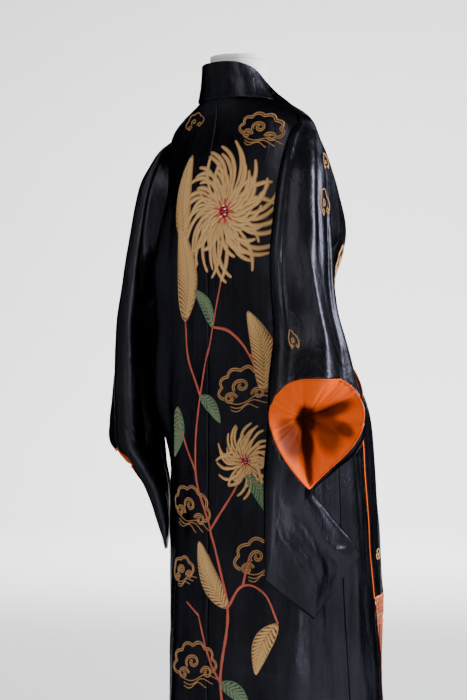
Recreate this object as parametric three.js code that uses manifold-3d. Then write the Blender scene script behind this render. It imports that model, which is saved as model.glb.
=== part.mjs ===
// A lined silk robe in kimono cut on a limbless dress form with pole and base.
// Millimetres, +Z up, origin in the middle of the base's underside.
// The wearer faces -Y, so the wearer's right side is at -X.
import * as THREE from 'three';
import { mergeVertices } from 'three/addons/utils/BufferGeometryUtils.js';
import Module from 'manifold-3d';

// ---------------------------------------------------------------- driving dimensions
const WALL = 1.6;            // silk face and its interlining
const LINING = 1.0;          // orange silk lining
const SEAM = 0.3;            // gap between pieces at a seam
const OVERLAP_LIFT = 4.4;    // the left front lies this far over the right one
const HEM_Z = 132;
const ARMHOLE_LOW_Z = 1160;
const ARMHOLE_TOP_Z = 1392;
const ARMHOLE_BACK_ANGLE = 34;   // degrees that the armhole opens behind the side seam
const ARMHOLE_FRONT_ANGLE = 22;  // and in front of it
const NECKLINE_Z = 1432;
const V_POINT_Z = 1215;      // where the two fronts cross
const SLIT_HALF = 3;         // half the open slit on the sleeve's body side
const SLIT_RISE = 0.95;      // the slit's edges lie this far out from the armhole's edge
const SLIT_REACH = 0.6;      // and reach this far over it
const COLLAR_WALL = 3;
const SASH_LOW_Z = 1016;
const SASH_HIGH_Z = 1062;
const SASH_WALL = 2;
const NECK_RADIUS = 50;
const NECK_CENTRE_Y = 22;
const NECK_TOP_Z = 1504;
const CAP_TOP_Z = 1512;
const FORM_LOW_Z = 850;
const FORM_SIDES = 30;
const POLE_RADIUS = 14;
const BASE_RADIUS = 165;
const BASE_HEIGHT = 14;
const BASE_EDGE = 5;

// Robe body: half width, front and back of the section at each height
const BODY = [
  { z: 132, half: 198, front: -248, back: 98 },
  { z: 280, half: 194, front: -239, back: 97 },
  { z: 423, half: 190, front: -229, back: 96 },
  { z: 572, half: 187, front: -209, back: 94 },
  { z: 770, half: 182, front: -191, back: 93 },
  { z: 930, half: 176, front: -173, back: 93 },
  { z: 984, half: 170, front: -146, back: 93 },
  { z: 1038, half: 164, front: -126, back: 93 },
  { z: 1097, half: 161, front: -113, back: 94 },
  { z: 1162, half: 164, front: -142, back: 96 },
  { z: 1208, half: 167, front: -152, back: 97 },
  { z: 1267, half: 170, front: -130, back: 96 },
  { z: 1306, half: 172, front: -107, back: 92 },
  { z: 1340, half: 172, front: -83, back: 86 },
  { z: 1370, half: 168, front: -58, back: 79 },
  { z: 1392, half: 156, front: -49, back: 75 },
  { z: 1408, half: 134, front: -43, back: 73 },
  { z: 1422, half: 104, front: -38, back: 73 },
  { z: 1434, half: 72, front: -32, back: 75 },
  { z: 1442, half: 60, front: -30, back: 76 },
];
const FRONT_POWER = 2.2;     // roundness of the section's front half
const BACK_POWER = 2.7;      // the back half is flatter

// Soft folds: angle round the body, width in degrees, depth, and the heights where each
// starts and is deepest; positive depth stands out.  One that ends above the hem is still
// full at last and gone at gone
const FOLDS = [
  { angle: 46, width: 15, depth: 32, start: 1310, full: 1150, last: 930, gone: 790 },
  { angle: 68, width: 8, depth: 5, start: 1340, full: 1100 },
  { angle: 112, width: 9, depth: -4, start: 1250, full: 900 },
  { angle: 150, width: 9, depth: 4, start: 900, full: 420 },
  { angle: 176, width: 9, depth: -5, start: 980, full: 500 },
  { angle: 205, width: 10, depth: 6, start: 1000, full: 380 },
  { angle: 226, width: 9, depth: -6, start: 900, full: 300 },
  { angle: 250, width: 11, depth: 5, start: 980, full: 300 },
  { angle: 288, width: 11, depth: -6, start: 1000, full: 300 },
  { angle: 312, width: 10, depth: 5, start: 960, full: 300 },
  { angle: 340, width: 10, depth: -5, start: 960, full: 400 },
  { angle: 10, width: 9, depth: 4, start: 640, full: 400 },
  { angle: 38, width: 9, depth: -4, start: 900, full: 400 },
];

// Edge of the left front, as the angle round the body at each height; the right front
// mirrors it
const FRONT_EDGE = [
  { z: 132, angle: 214 }, { z: 700, angle: 216 }, { z: 1038, angle: 226 },
  { z: 1130, angle: 246 }, { z: 1215, angle: 270 }, { z: 1300, angle: 291 },
  { z: 1370, angle: 311 }, { z: 1408, angle: 332 }, { z: 1432, angle: 350 },
];

// Sleeves: a row for each level.  backX/backY and frontX/frontY are the two side folds,
// thick is half the thickness, bulge and sag swell the outer and the inner face, and
// dropBack and dropFront raise the two folds above z
const RIGHT_SLEEVE = [
  { z: 1389, backX: -162, backY: 30, frontX: -166, frontY: -4, thick: 5, bulge: 1 },
  { z: 1374, backX: -168, backY: 53, frontX: -173, frontY: -6, thick: 7, bulge: 6 },
  { z: 1346, backX: -171, backY: 69, frontX: -182, frontY: -8, thick: 9, bulge: 12 },
  { z: 1310, backX: -173, backY: 82, frontX: -190, frontY: -8, thick: 11, bulge: 16 },
  { z: 1262, backX: -175, backY: 94, frontX: -196, frontY: -6, thick: 12, bulge: 18 },
  { z: 1208, backX: -178, backY: 105, frontX: -200, frontY: -6, thick: 12, bulge: 20 },
  { z: 1160, backX: -181, backY: 113, frontX: -204, frontY: -6, thick: 12, bulge: 22 },
  { z: 1110, backX: -182, backY: 113, frontX: -208, frontY: -6, thick: 13, bulge: 26 },
  { z: 1060, backX: -184, backY: 110, frontX: -214, frontY: -10, thick: 14, bulge: 30 },
  { z: 1015, backX: -188, backY: 112, frontX: -226, frontY: -16, thick: 17, bulge: 34 },
  { z: 978, backX: -192, backY: 122, frontX: -244, frontY: -12, thick: 20, bulge: 38 },
  { z: 946, backX: -196, backY: 131, frontX: -262, frontY: -5, thick: 23, bulge: 40, sag: 5 },
  { z: 905, backX: -200, backY: 137, frontX: -290, frontY: 2, thick: 25, bulge: 40, sag: 10 },
  { z: 862, backX: -200, backY: 139, frontX: -286, frontY: -1, thick: 25, bulge: 40, sag: 10 },
  { z: 828, backX: -199, backY: 141, frontX: -262, frontY: -1, thick: 23, bulge: 36, sag: 6 },
  { z: 800, backX: -198, backY: 141, frontX: -227, frontY: 12, thick: 20, bulge: 30 },
  { z: 768, backX: -197, backY: 140, frontX: -207, frontY: 41, thick: 15, bulge: 22 },
  { z: 738, backX: -196, backY: 139, frontX: -211, frontY: 23, thick: 14, bulge: 20,
    dropBack: 2, dropFront: 3 },
  { z: 692, backX: -195, backY: 138, frontX: -217, frontY: -9, thick: 12, bulge: 18,
    dropBack: 8, dropFront: 15 },
  { z: 650, backX: -195, backY: 137, frontX: -223, frontY: -29, thick: 9, bulge: 14,
    dropBack: 18, dropFront: 36 },
  { z: 612, backX: -194, backY: 137, frontX: -226, frontY: -39, thick: 6.5, bulge: 9,
    dropBack: 34, dropFront: 60 },
  { z: 580, backX: -194, backY: 137, frontX: -228, frontY: -45, thick: 4, bulge: 3,
    dropBack: 54, dropFront: 84 },
  { z: 556, backX: -194, backY: 137, frontX: -229, frontY: -48, thick: 2.4, bulge: 0,
    dropBack: 70, dropFront: 102 },
];
const LEFT_SLEEVE = [
  { z: 1389, backX: 163, backY: 32, frontX: 168, frontY: -6, thick: 5, bulge: 2 },
  { z: 1374, backX: 174, backY: 56, frontX: 188, frontY: -10, thick: 8, bulge: 5 },
  { z: 1346, backX: 180, backY: 72, frontX: 198, frontY: -12, thick: 11, bulge: 8 },
  { z: 1310, backX: 187, backY: 84, frontX: 210, frontY: -12, thick: 13, bulge: 11 },
  { z: 1262, backX: 195, backY: 92, frontX: 221, frontY: -10, thick: 14, bulge: 14 },
  { z: 1208, backX: 202, backY: 98, frontX: 231, frontY: -8, thick: 15, bulge: 16 },
  { z: 1160, backX: 208, backY: 103, frontX: 240, frontY: -8, thick: 16, bulge: 18 },
  { z: 1110, backX: 213, backY: 107, frontX: 248, frontY: -10, thick: 18, bulge: 20 },
  { z: 1060, backX: 219, backY: 111, frontX: 257, frontY: -12, thick: 20, bulge: 21 },
  { z: 1010, backX: 219, backY: 113, frontX: 263, frontY: -12, thick: 22, bulge: 22, sag: 2 },
  { z: 960, backX: 216, backY: 114, frontX: 269, frontY: -10, thick: 24, bulge: 24, sag: 6 },
  { z: 915, backX: 211, backY: 115, frontX: 275, frontY: -4, thick: 25, bulge: 25, sag: 9 },
  { z: 870, backX: 204, backY: 116, frontX: 278, frontY: 0, thick: 26, bulge: 26, sag: 12 },
  { z: 828, backX: 196, backY: 118, frontX: 272, frontY: 4, thick: 26, bulge: 26, sag: 13 },
  { z: 795, backX: 174, backY: 110, frontX: 262, frontY: 6, thick: 22, bulge: 11, sag: 8 },
  { z: 762, backX: 157, backY: 104, frontX: 252, frontY: 4, thick: 18, bulge: 2, sag: 4 },
  { z: 730, backX: 144, backY: 101, frontX: 244, frontY: 4, thick: 15, bulge: 0, sag: 1 },
  { z: 700, backX: 136, backY: 100, frontX: 240, frontY: 4, thick: 12, bulge: 0,
    dropBack: 4, dropFront: 3 },
  { z: 665, backX: 130, backY: 99, frontX: 238, frontY: 4, thick: 7, bulge: 0,
    dropBack: 13, dropFront: 9 },
  { z: 640, backX: 128, backY: 98, frontX: 237, frontY: 4, thick: 2.4, bulge: 0,
    dropBack: 24, dropFront: 16 },
];
const FACE_STEPS = 8;       // steps across a sleeve's outer face
const WEB_STEPS = 3;         // steps on each half of its inner face
const END_STEPS = 3;         // steps round each side fold

// Cuff mouths: centre, the direction each faces, and the size of its drop-shaped outline
const RIGHT_MOUTH = { x: -246, y: 70, z: 860, faceX: -0.83, faceY: 0.52, faceZ: -0.2,
  width: 150, height: 178, lean: -9, depth: 13 };
const LEFT_MOUTH = { x: 236, y: 82, z: 780, faceX: 0.455, faceY: 0.505, faceZ: -0.73,
  width: 118, height: 84, lean: 0, depth: 18 };
const DROP_WIDEST = 0.77;    // widest value of sin(a) sin(a/2), the drop's half width

// Collar on one side, from the centre back round to the front: foot on the body and
// free upper edge
const COLLAR_NECK = [
  { footX: 0, footY: 80, footZ: 1434, topX: 0, topY: 84, topZ: 1497 },
  { footX: 32, footY: 78, footZ: 1435, topX: 28, topY: 79, topZ: 1497 },
  { footX: 60, footY: 64, footZ: 1436, topX: 50, topY: 64, topZ: 1495 },
  { footX: 75, footY: 36, footZ: 1437, topX: 58, topY: 38, topZ: 1486 },
  { footX: 80, footY: 10, footZ: 1434, topX: 60, topY: 10, topZ: 1464 },
];
const COLLAR_FRONT_WIDTH = 48;
const COLLAR_FRONT_LOW_Z = 1100;
const COLLAR_CROSSING_Z = 1264;   // the left collar covers the right one below this
const CLEAR = 1.6;           // rise of a straight-sided piece over a rounded one

// Sash: its two side ends, the knot and the hanging ends, as angles round the body
const SASH_START_ANGLE = 187;
const SASH_STOP_ANGLE = 353;
const KNOT_ANGLE = 258;
const KNOT_SPREAD = 4;       // degrees from the knot to the top of each end
const KNOT_SIZE = { across: 30, deep: 17, high: 24 };
const SASH_ENDS = [
  { name: 'outer', angle: 230, width: 60, topZ: 1015.2, length: 450, stand: 21 },
  { name: 'inner', angle: 272, width: 60, topZ: 1017.7, length: 426, stand: 14 },
];
const STRANDS = 22;
const STRAND_LENGTH = 148;
const STRAND_WIDTH = 1.1;
const STRIP_HEIGHT = 7;      // backing strip of the fringe
const FRINGE_NARROWING = 0.62;

// Dress form: half width, front and back at each height
const FORM = [
  { z: 850, half: 124, front: -110, back: 74 },
  { z: 862, half: 138, front: -120, back: 80 },
  { z: 930, half: 146, front: -124, back: 82 },
  { z: 1040, half: 126, front: -90, back: 72 },
  { z: 1160, half: 138, front: -110, back: 78 },
  { z: 1210, half: 144, front: -118, back: 80 },
  { z: 1270, half: 152, front: -104, back: 82 },
  { z: 1306, half: 156, front: -86, back: 80 },
];
const FORM_SEAT = WALL + 2.4;     // gap from the robe's outer face to the form's shoulders

// ---------------------------------------------------------------- materials
const blackSilk = () => new THREE.MeshStandardMaterial({ color: 0x17181f, roughness: 0.42 });
const orangeSilk = () => new THREE.MeshStandardMaterial({ color: 0xf07010, roughness: 0.45 });
const formCloth = () => new THREE.MeshStandardMaterial({ color: 0xeceae4, roughness: 0.85 });
const paintedSteel = () =>
  new THREE.MeshStandardMaterial({ color: 0x8c8c8c, roughness: 0.4, metalness: 0.7 });

// ---------------------------------------------------------------- small helpers
const clamp01 = (x) => Math.min(1, Math.max(0, x));
const smooth = (low, high, x) => {
  const s = clamp01((x - low) / (high - low));
  return s * s * (3 - 2 * s);
};
const mix = (a, b, s) => a + (b - a) * s;
const radians = THREE.MathUtils.degToRad;

// Value of a column at z, by a smooth curve through the rows
function column(rows, key, z) {
  const rising = rows[0].z < rows[rows.length - 1].z;
  const sorted = rising ? rows : [...rows].reverse();
  const last = sorted.length - 1;
  const height = THREE.MathUtils.clamp(z, sorted[0].z, sorted[last].z);
  let i = sorted.findIndex((row) => row.z >= height) - 1;
  i = THREE.MathUtils.clamp(i, 0, last - 1);
  const value = (k) => sorted[THREE.MathUtils.clamp(k, 0, last)][key] ?? 0;
  const place = (k) => sorted[THREE.MathUtils.clamp(k, 0, last)].z;
  const slope = (k) => {
    const span = place(k + 1) - place(k - 1);
    return span > 0 ? (value(k + 1) - value(k - 1)) / span : 0;
  };
  const step = place(i + 1) - place(i);
  const s = (height - place(i)) / step;
  const s2 = s * s;
  const s3 = s2 * s;
  return value(i) * (2 * s3 - 3 * s2 + 1) + slope(i) * step * (s3 - 2 * s2 + s)
    + value(i + 1) * (3 * s2 - 2 * s3) + slope(i + 1) * step * (s3 - s2);
}

// Point on a section that is a half superellipse in front and another at the back
function sectionPoint(table, angle, z, inset = 0) {
  const half = column(table, 'half', z) - inset;
  const front = column(table, 'front', z) + inset;
  const back = column(table, 'back', z) - inset;
  const middle = (front + back) / 2;
  const depth = (back - front) / 2;
  const c = Math.cos(radians(angle));
  const s = Math.sin(radians(angle));
  const power = s >= 0 ? BACK_POWER : FRONT_POWER;
  return new THREE.Vector3(
    half * Math.sign(c) * Math.abs(c) ** (2 / power),
    middle + depth * Math.sign(s) * Math.abs(s) ** (2 / power),
    z);
}

// Height of the folds at a place on the body
function foldHeight(angle, z) {
  let height = 0;
  for (const fold of FOLDS) {
    const away = ((angle - fold.angle + 540) % 360) - 180;
    height += fold.depth * Math.exp(-((away / fold.width) ** 2))
      * smooth(fold.start, fold.full, z)
      * (fold.last ? smooth(fold.gone, fold.last, z) : 1);
  }
  return height;
}

// Outer surface of the robe's body
function bodyPoint(angle, z) {
  const point = sectionPoint(BODY, angle, z);
  const outward = new THREE.Vector3(
    Math.cos(radians(angle)), Math.sin(radians(angle)), 0);
  return point.addScaledVector(outward, foldHeight(angle, z));
}
function bodyNormal(angle, z) {
  const round = bodyPoint(angle + 0.4, z).sub(bodyPoint(angle - 0.4, z));
  const up = bodyPoint(angle, z + 1.5).sub(bodyPoint(angle, z - 1.5));
  return round.cross(up).normalize();
}
const bodyAt = (angle, z, out) => bodyPoint(angle, z).addScaledVector(bodyNormal(angle, z), out);

// Degrees that cover a length along the body's section at a place
function degreesFor(length, angle, z) {
  return length / bodyPoint(angle + 0.5, z).distanceTo(bodyPoint(angle - 0.5, z));
}

// Closed solid between two grids of points, outer[row][col] and inner[row][col]
function wallBetween(outer, inner) {
  const rows = outer.length;
  const cols = outer[0].length;
  const positions = [];
  for (const grid of [outer, inner]) {
    for (const row of grid) {
      for (const point of row) positions.push(point.x, point.y, point.z);
    }
  }
  const index = [];
  const at = (layer, i, j) => layer * rows * cols + i * cols + j;
  const quad = (a, b, c, d) => index.push(a, b, c, a, c, d);
  for (let i = 0; i < rows - 1; i += 1) {
    for (let j = 0; j < cols - 1; j += 1) {
      quad(at(0, i, j), at(0, i, j + 1), at(0, i + 1, j + 1), at(0, i + 1, j));
      quad(at(1, i, j), at(1, i + 1, j), at(1, i + 1, j + 1), at(1, i, j + 1));
    }
    quad(at(0, i, 0), at(0, i + 1, 0), at(1, i + 1, 0), at(1, i, 0));
    quad(at(0, i, cols - 1), at(1, i, cols - 1), at(1, i + 1, cols - 1), at(0, i + 1, cols - 1));
  }
  for (let j = 0; j < cols - 1; j += 1) {
    quad(at(0, 0, j), at(1, 0, j), at(1, 0, j + 1), at(0, 0, j + 1));
    quad(at(0, rows - 1, j), at(0, rows - 1, j + 1), at(1, rows - 1, j + 1), at(1, rows - 1, j));
  }
  const geometry = new THREE.BufferGeometry();
  geometry.setAttribute('position', new THREE.Float32BufferAttribute(positions, 3));
  geometry.setIndex(signedVolume(positions, index) > 0 ? index : index.reverse());
  return geometry;
}
function signedVolume(positions, index) {
  let volume = 0;
  const point = (k) => new THREE.Vector3().fromArray(positions, 3 * index[k]);
  for (let k = 0; k < index.length; k += 3) {
    volume += point(k).dot(point(k + 1).cross(point(k + 2))) / 6;
  }
  return volume;
}

// Unit normals of a grid, by differences along its rows and columns
function gridNormals(grid, facing) {
  return grid.map((row, i) => row.map((point, j) => {
    const up = grid[Math.min(i + 1, grid.length - 1)][j].clone()
      .sub(grid[Math.max(i - 1, 0)][j]);
    const across = row[Math.min(j + 1, row.length - 1)].clone().sub(row[Math.max(j - 1, 0)]);
    return across.cross(up).normalize().multiplyScalar(facing);
  }));
}
function gridOffset(grid, normals, distance) {
  return grid.map((row, i) => row.map((point, j) =>
    point.clone().addScaledVector(normals[i][j], distance)));
}

// ---------------------------------------------------------------- body panels
const panelHeights = [
  HEM_Z, 230, 330, 440, 550, 660, 770, 870, 945, 1000, 1045, 1100,
  ARMHOLE_LOW_Z, 1208, 1262, 1310, 1346, 1374, ARMHOLE_TOP_Z, 1408, 1421, NECKLINE_Z,
];

// Angle that the armhole opens behind or in front of the side seam at a height
function armholeOpening(widest, z) {
  const s = clamp01((z - ARMHOLE_LOW_Z) / (ARMHOLE_TOP_Z - ARMHOLE_LOW_Z));
  return widest * Math.sin(Math.PI * s ** 0.8) ** 0.75;
}
const armholeBack = (z) => armholeOpening(ARMHOLE_BACK_ANGLE, z);
const armholeFront = (z) => armholeOpening(ARMHOLE_FRONT_ANGLE, z);

// A panel from one angle to another at each height; lift(angle, z) moves it outward
function bodyPanel(startAngle, endAngle, steps, lift = () => 0) {
  const layer = (depth) => panelHeights.map((z) => {
    const start = startAngle(z);
    const end = endAngle(z);
    const startGap = degreesFor(SEAM / 2, start, z);
    const endGap = degreesFor(SEAM / 2, end, z);
    return Array.from({ length: steps + 1 }, (_, j) => {
      const angle = mix(start + startGap, end - endGap, j / steps);
      return bodyAt(angle, z, lift(angle, z) - depth);
    });
  });
  return wallBetween(layer(0), layer(WALL));
}

const frontEdgeLeft = (z) => column(FRONT_EDGE, 'angle', z);
const frontEdgeRight = (z) => 540 - frontEdgeLeft(z);
const overLift = (angle, z) => OVERLAP_LIFT
  * (1 - smooth(frontEdgeRight(z) + 8, frontEdgeRight(z) + 28, angle))
  * smooth(V_POINT_Z + 40, V_POINT_Z, z);

// ---------------------------------------------------------------- sleeves
// Outer points of a sleeve at one level, from the slit round the back fold, the outer
// face and the front fold to the slit again
function sleeveLoop(rows, side, z) {
  const value = (key) => column(rows, key, z);
  const backFold = new THREE.Vector2(value('backX'), value('backY'));
  const frontFold = new THREE.Vector2(value('frontX'), value('frontY'));
  const thick = value('thick');
  const centre = backFold.clone().add(frontFold).multiplyScalar(0.5);
  const along = frontFold.clone().sub(backFold);
  const half = along.length() / 2;
  along.normalize();
  const outward = new THREE.Vector2(-along.y, along.x);
  if (outward.x * side < 0) outward.negate();
  const flat = half - thick;

  const place = (x, y) => {
    const p = x / half;
    const rise = p < 0 ? value('dropBack') * -p : value('dropFront') * p;
    return new THREE.Vector3(
      centre.x + along.x * x + outward.x * y,
      centre.y + along.y * x + outward.y * y,
      z + rise);
  };
  const swell = (x, amount) => amount * (1 - (x / flat) ** 2) ** 2;

  const nearBody = smooth(ARMHOLE_LOW_Z - 90, ARMHOLE_LOW_Z, z);
  const slitEnd = (direction) => {
    const free = place(direction * SLIT_HALF, -thick - value('sag'));
    if (nearBody === 0) return free;
    const height = Math.min(z, ARMHOLE_TOP_Z - 3);
    const sideAngle = side < 0 ? 180 : 0;
    const turn = side < 0 ? direction : -direction;
    const armhole = direction < 0 ? armholeBack(height) : armholeFront(height);
    const open = armhole - degreesFor(SLIT_REACH, sideAngle + turn * armhole, height);
    const angle = sideAngle + turn * Math.max(open, degreesFor(SLIT_HALF, sideAngle, height));
    return free.lerp(bodyAt(angle, height, SLIT_RISE).setZ(z), nearBody);
  };
  const web = (direction) => {
    const end = slitEnd(direction);
    const fold = place(direction * flat, -thick);
    return Array.from({ length: WEB_STEPS }, (_, k) => {
      const s = k / WEB_STEPS;
      const bow = (1 - nearBody) * value('sag') * Math.sin(Math.PI * s);
      return end.clone().lerp(fold, s)
        .add(new THREE.Vector3(-outward.x * bow, -outward.y * bow, 0));
    });
  };
  const endTurn = (direction) => Array.from({ length: END_STEPS }, (_, k) => {
    const turn = Math.PI * (k / END_STEPS);
    return place(direction * (flat + thick * Math.sin(turn)), -thick * Math.cos(turn));
  });
  const face = Array.from({ length: FACE_STEPS + 1 }, (_, k) => {
    const x = mix(-flat, flat, k / FACE_STEPS);
    return place(x, thick + swell(x, value('bulge')));
  });
  return [...web(-1), ...endTurn(-1), ...face, ...endTurn(1).reverse(), ...web(1).reverse()];
}

// Rows of a sleeve between two heights; they fall on the rows of its table, so the sleeve
// and its lining bend at the same places
function sleeveGrid(rows, side, topZ, lowZ) {
  return rows.filter((row) => row.z <= topZ && row.z >= lowZ)
    .map((row) => sleeveLoop(rows, side, row.z));
}

// Drop-shaped outline of a cuff mouth, pointed end down
function mouthOutline(mouth, inset) {
  const shape = new THREE.Shape();
  const count = 26;
  for (let k = 0; k < count; k += 1) {
    const turn = (2 * Math.PI * (k + 0.5)) / count;
    const x = (mouth.width / 2 - inset) * Math.sin(turn) * Math.sin(turn / 2) / DROP_WIDEST;
    const y = -(mouth.height / 2 - inset) * Math.cos(turn);
    const lean = mouth.lean * (1 - y / (mouth.height / 2)) / 2;
    if (k === 0) shape.moveTo(x + lean, y);
    else shape.lineTo(x + lean, y);
  }
  return shape;
}

// Solid that cuts a cuff mouth out of the outer face
function mouthCutter(mouth, inset) {
  const geometry = new THREE.ExtrudeGeometry(mouthOutline(mouth, inset),
    { depth: mouth.depth + 90, bevelEnabled: false });
  geometry.translate(0, 0, -mouth.depth);
  const facing = new THREE.Vector3(mouth.faceX, mouth.faceY, mouth.faceZ).normalize();
  const across = new THREE.Vector3(0, 0, 1).cross(facing).normalize();
  const up = facing.clone().cross(across);
  const frame = new THREE.Matrix4().makeBasis(across, up, facing)
    .setPosition(mouth.x, mouth.y, mouth.z);
  return geometry.applyMatrix4(frame);
}

const wasm = await Module();
wasm.setup();

function toManifold(geometry) {
  const bare = geometry.clone();
  bare.deleteAttribute('normal');
  bare.deleteAttribute('uv');
  const merged = mergeVertices(bare, 1e-4);
  return new wasm.Manifold(new wasm.Mesh({
    numProp: 3,
    vertProperties: new Float32Array(merged.attributes.position.array),
    triVerts: new Uint32Array(merged.index.array),
  }));
}
function fromManifold(solid) {
  const mesh = solid.getMesh();
  const geometry = new THREE.BufferGeometry();
  geometry.setAttribute('position', new THREE.BufferAttribute(mesh.vertProperties, 3));
  geometry.setIndex(new THREE.BufferAttribute(mesh.triVerts, 1));
  return geometry;
}
const cutMouth = (geometry, mouth, inset) =>
  fromManifold(toManifold(geometry).subtract(toManifold(mouthCutter(mouth, inset))));

function sleeve(rows, side, mouth) {
  const grid = sleeveGrid(rows, side, rows[0].z, rows[rows.length - 1].z);
  const normals = gridNormals(grid, side);
  return cutMouth(wallBetween(grid, gridOffset(grid, normals, -WALL)), mouth, 0);
}

// The lining lies inside the sleeve's wall round the cuff mouth and shows as a narrow
// edge there
const LINING_EDGE = 2.5;
function sleeveLining(rows, side, mouth, topZ, lowZ) {
  const grid = sleeveGrid(rows, side, topZ, lowZ);
  const normals = gridNormals(grid, side);
  const outer = gridOffset(grid, normals, -WALL - SEAM);
  const inner = gridOffset(grid, normals, -WALL - SEAM - LINING);
  return cutMouth(wallBetween(outer, inner), mouth, LINING_EDGE);
}

// ---------------------------------------------------------------- collar
// A folded band between a foot line and a free line, with thickness to the wearer's side
function band(feet, tops, thickness, across = 3) {
  const grid = feet.map((foot, i) => Array.from({ length: across + 1 }, (_, j) =>
    foot.clone().lerp(tops[i], j / across)));
  const normals = gridNormals(grid, 1);
  return wallBetween(grid, gridOffset(grid, normals, -thickness));
}

function neckBand() {
  const half = COLLAR_NECK;
  const mirrored = half.slice(1).reverse().map((row) =>
    ({ ...row, footX: -row.footX, topX: -row.topX }));
  const rows = [...mirrored, ...half];
  const foot = new THREE.CatmullRomCurve3(rows.map((row) =>
    new THREE.Vector3(row.footX, row.footY, row.footZ)));
  const top = new THREE.CatmullRomCurve3(rows.map((row) =>
    new THREE.Vector3(row.topX, row.topY, row.topZ)));
  return band(foot.getSpacedPoints(28), top.getSpacedPoints(28), COLLAR_WALL);
}

// Front collar: it follows the front edge down, from the side of the neck to its end
function frontBand(side, lowZ, lift) {
  const top = COLLAR_NECK[COLLAR_NECK.length - 1];
  const heights = [...panelHeights.filter((z) => z > lowZ).reverse(), lowZ];
  const feet = [];
  const tops = [];
  for (const z of heights) {
    const edge = side > 0 ? frontEdgeLeft(z) : frontEdgeRight(z);
    const inward = degreesFor(COLLAR_FRONT_WIDTH / 2, edge, z) * side;
    const rise = CLEAR + 0.8 + COLLAR_WALL + lift(edge, z);
    const foot = bodyAt(edge + inward * 0.5, z, rise);
    const free = bodyAt(edge - inward * 1.2, z, rise + 1);
    foot.lerp(new THREE.Vector3(side * top.footX, top.footY - 1, top.footZ + 1),
      smooth(NECKLINE_Z - 22, NECKLINE_Z, z));
    free.lerp(new THREE.Vector3(side * top.topX, top.topY - 1, top.topZ),
      smooth(NECKLINE_Z - 50, NECKLINE_Z, z));
    feet.push(foot);
    tops.push(free);
  }
  return side > 0 ? band(feet, tops, COLLAR_WALL)
    : band(feet.reverse(), tops.reverse(), COLLAR_WALL);
}

// ---------------------------------------------------------------- sash
const SASH_RISE = OVERLAP_LIFT + CLEAR + 1;
function sashBand() {
  const steps = 30;
  const layer = (out) => [SASH_LOW_Z, (SASH_LOW_Z + SASH_HIGH_Z) / 2, SASH_HIGH_Z].map((z) =>
    Array.from({ length: steps + 1 }, (_, j) => {
      const angle = mix(SASH_START_ANGLE, SASH_STOP_ANGLE, j / steps);
      return bodyAt(angle, z, SASH_RISE + out);
    }));
  return wallBetween(layer(SASH_WALL), layer(0));
}

const knotCentre = bodyAt(KNOT_ANGLE, (SASH_LOW_Z + SASH_HIGH_Z) / 2,
  SASH_RISE + SASH_WALL + 0.8 + KNOT_SIZE.deep);
function sashKnot() {
  const normal = bodyNormal(KNOT_ANGLE, knotCentre.z);
  const geometry = new THREE.SphereGeometry(1, 20, 12);
  geometry.scale(KNOT_SIZE.across, KNOT_SIZE.deep, KNOT_SIZE.high);
  geometry.rotateZ(Math.atan2(normal.y, normal.x) - Math.PI / 2);
  geometry.translate(knotCentre.x, knotCentre.y, knotCentre.z);
  return geometry;
}

// Points of a hanging end: it leaves the knot and hangs just clear of the skirt
const sashLowZ = (end) => end.topZ - end.length;
function sashEndGrid(end, out, widen) {
  const { topZ } = end;
  const levels = 11;
  const across = 3;
  return Array.from({ length: levels + 1 }, (_, i) => {
    const z = mix(topZ, sashLowZ(end), i / levels);
    const gather = mix(0.5, 1, smooth(topZ, topZ - 90, z));
    const start = KNOT_ANGLE + Math.sign(end.angle - KNOT_ANGLE) * KNOT_SPREAD;
    const angle = mix(start, end.angle, smooth(topZ, topZ - 170, z));
    const near = degreesFor(1, angle, z);
    return Array.from({ length: across + 1 }, (_, j) => {
      const offset = (j / across - 0.5) * gather * (end.width + widen);
      return bodyAt(angle + offset * near, z, end.stand + out);
    });
  });
}
const sashEnd = (end) =>
  wallBetween(sashEndGrid(end, SASH_WALL, 0), sashEndGrid(end, 0, 0));
const sashLining = (end) =>
  wallBetween(sashEndGrid(end, -SEAM, 5), sashEndGrid(end, -SEAM - LINING, 5));

// Fringe: strands fused into a narrow backing strip under the sash end
function fringe(end) {
  const topZ = sashLowZ(end) - SEAM;
  const stripLowZ = topZ - STRIP_HEIGHT;
  const out = end.stand + SASH_WALL / 2;
  const near = degreesFor(1, end.angle, topZ);
  const at = (offset, z, forward) => bodyAt(end.angle + offset * near, z, out + forward);
  const strip = (forward) => [topZ, stripLowZ].map((z) =>
    Array.from({ length: STRANDS + 1 }, (_, j) =>
      at((j / STRANDS - 0.5) * end.width, z, forward)));
  let solid = toManifold(wallBetween(strip(1), strip(-1)));
  for (let k = 0; k < STRANDS; k += 1) {
    const offset = ((k + 0.5) / STRANDS - 0.5) * end.width;
    const sway = 2.2 * Math.sin(k * 2.4);
    const levels = 2;
    const sides = [[-1, -1], [1, -1], [1, 1], [-1, 1]];
    const rings = Array.from({ length: levels + 1 }, (_, i) => {
      const s = i / levels;
      const z = mix(stripLowZ + 2, topZ - STRAND_LENGTH - 6 * Math.cos(k * 1.7), s);
      const place = offset * mix(1, FRINGE_NARROWING, s);
      return sides.map(([a, b]) => at(place + a * STRAND_WIDTH / 2, z,
        b * STRAND_WIDTH / 2 + sway * s));
    });
    solid = solid.add(toManifold(tube(rings)));
  }
  return fromManifold(solid);
}

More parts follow.
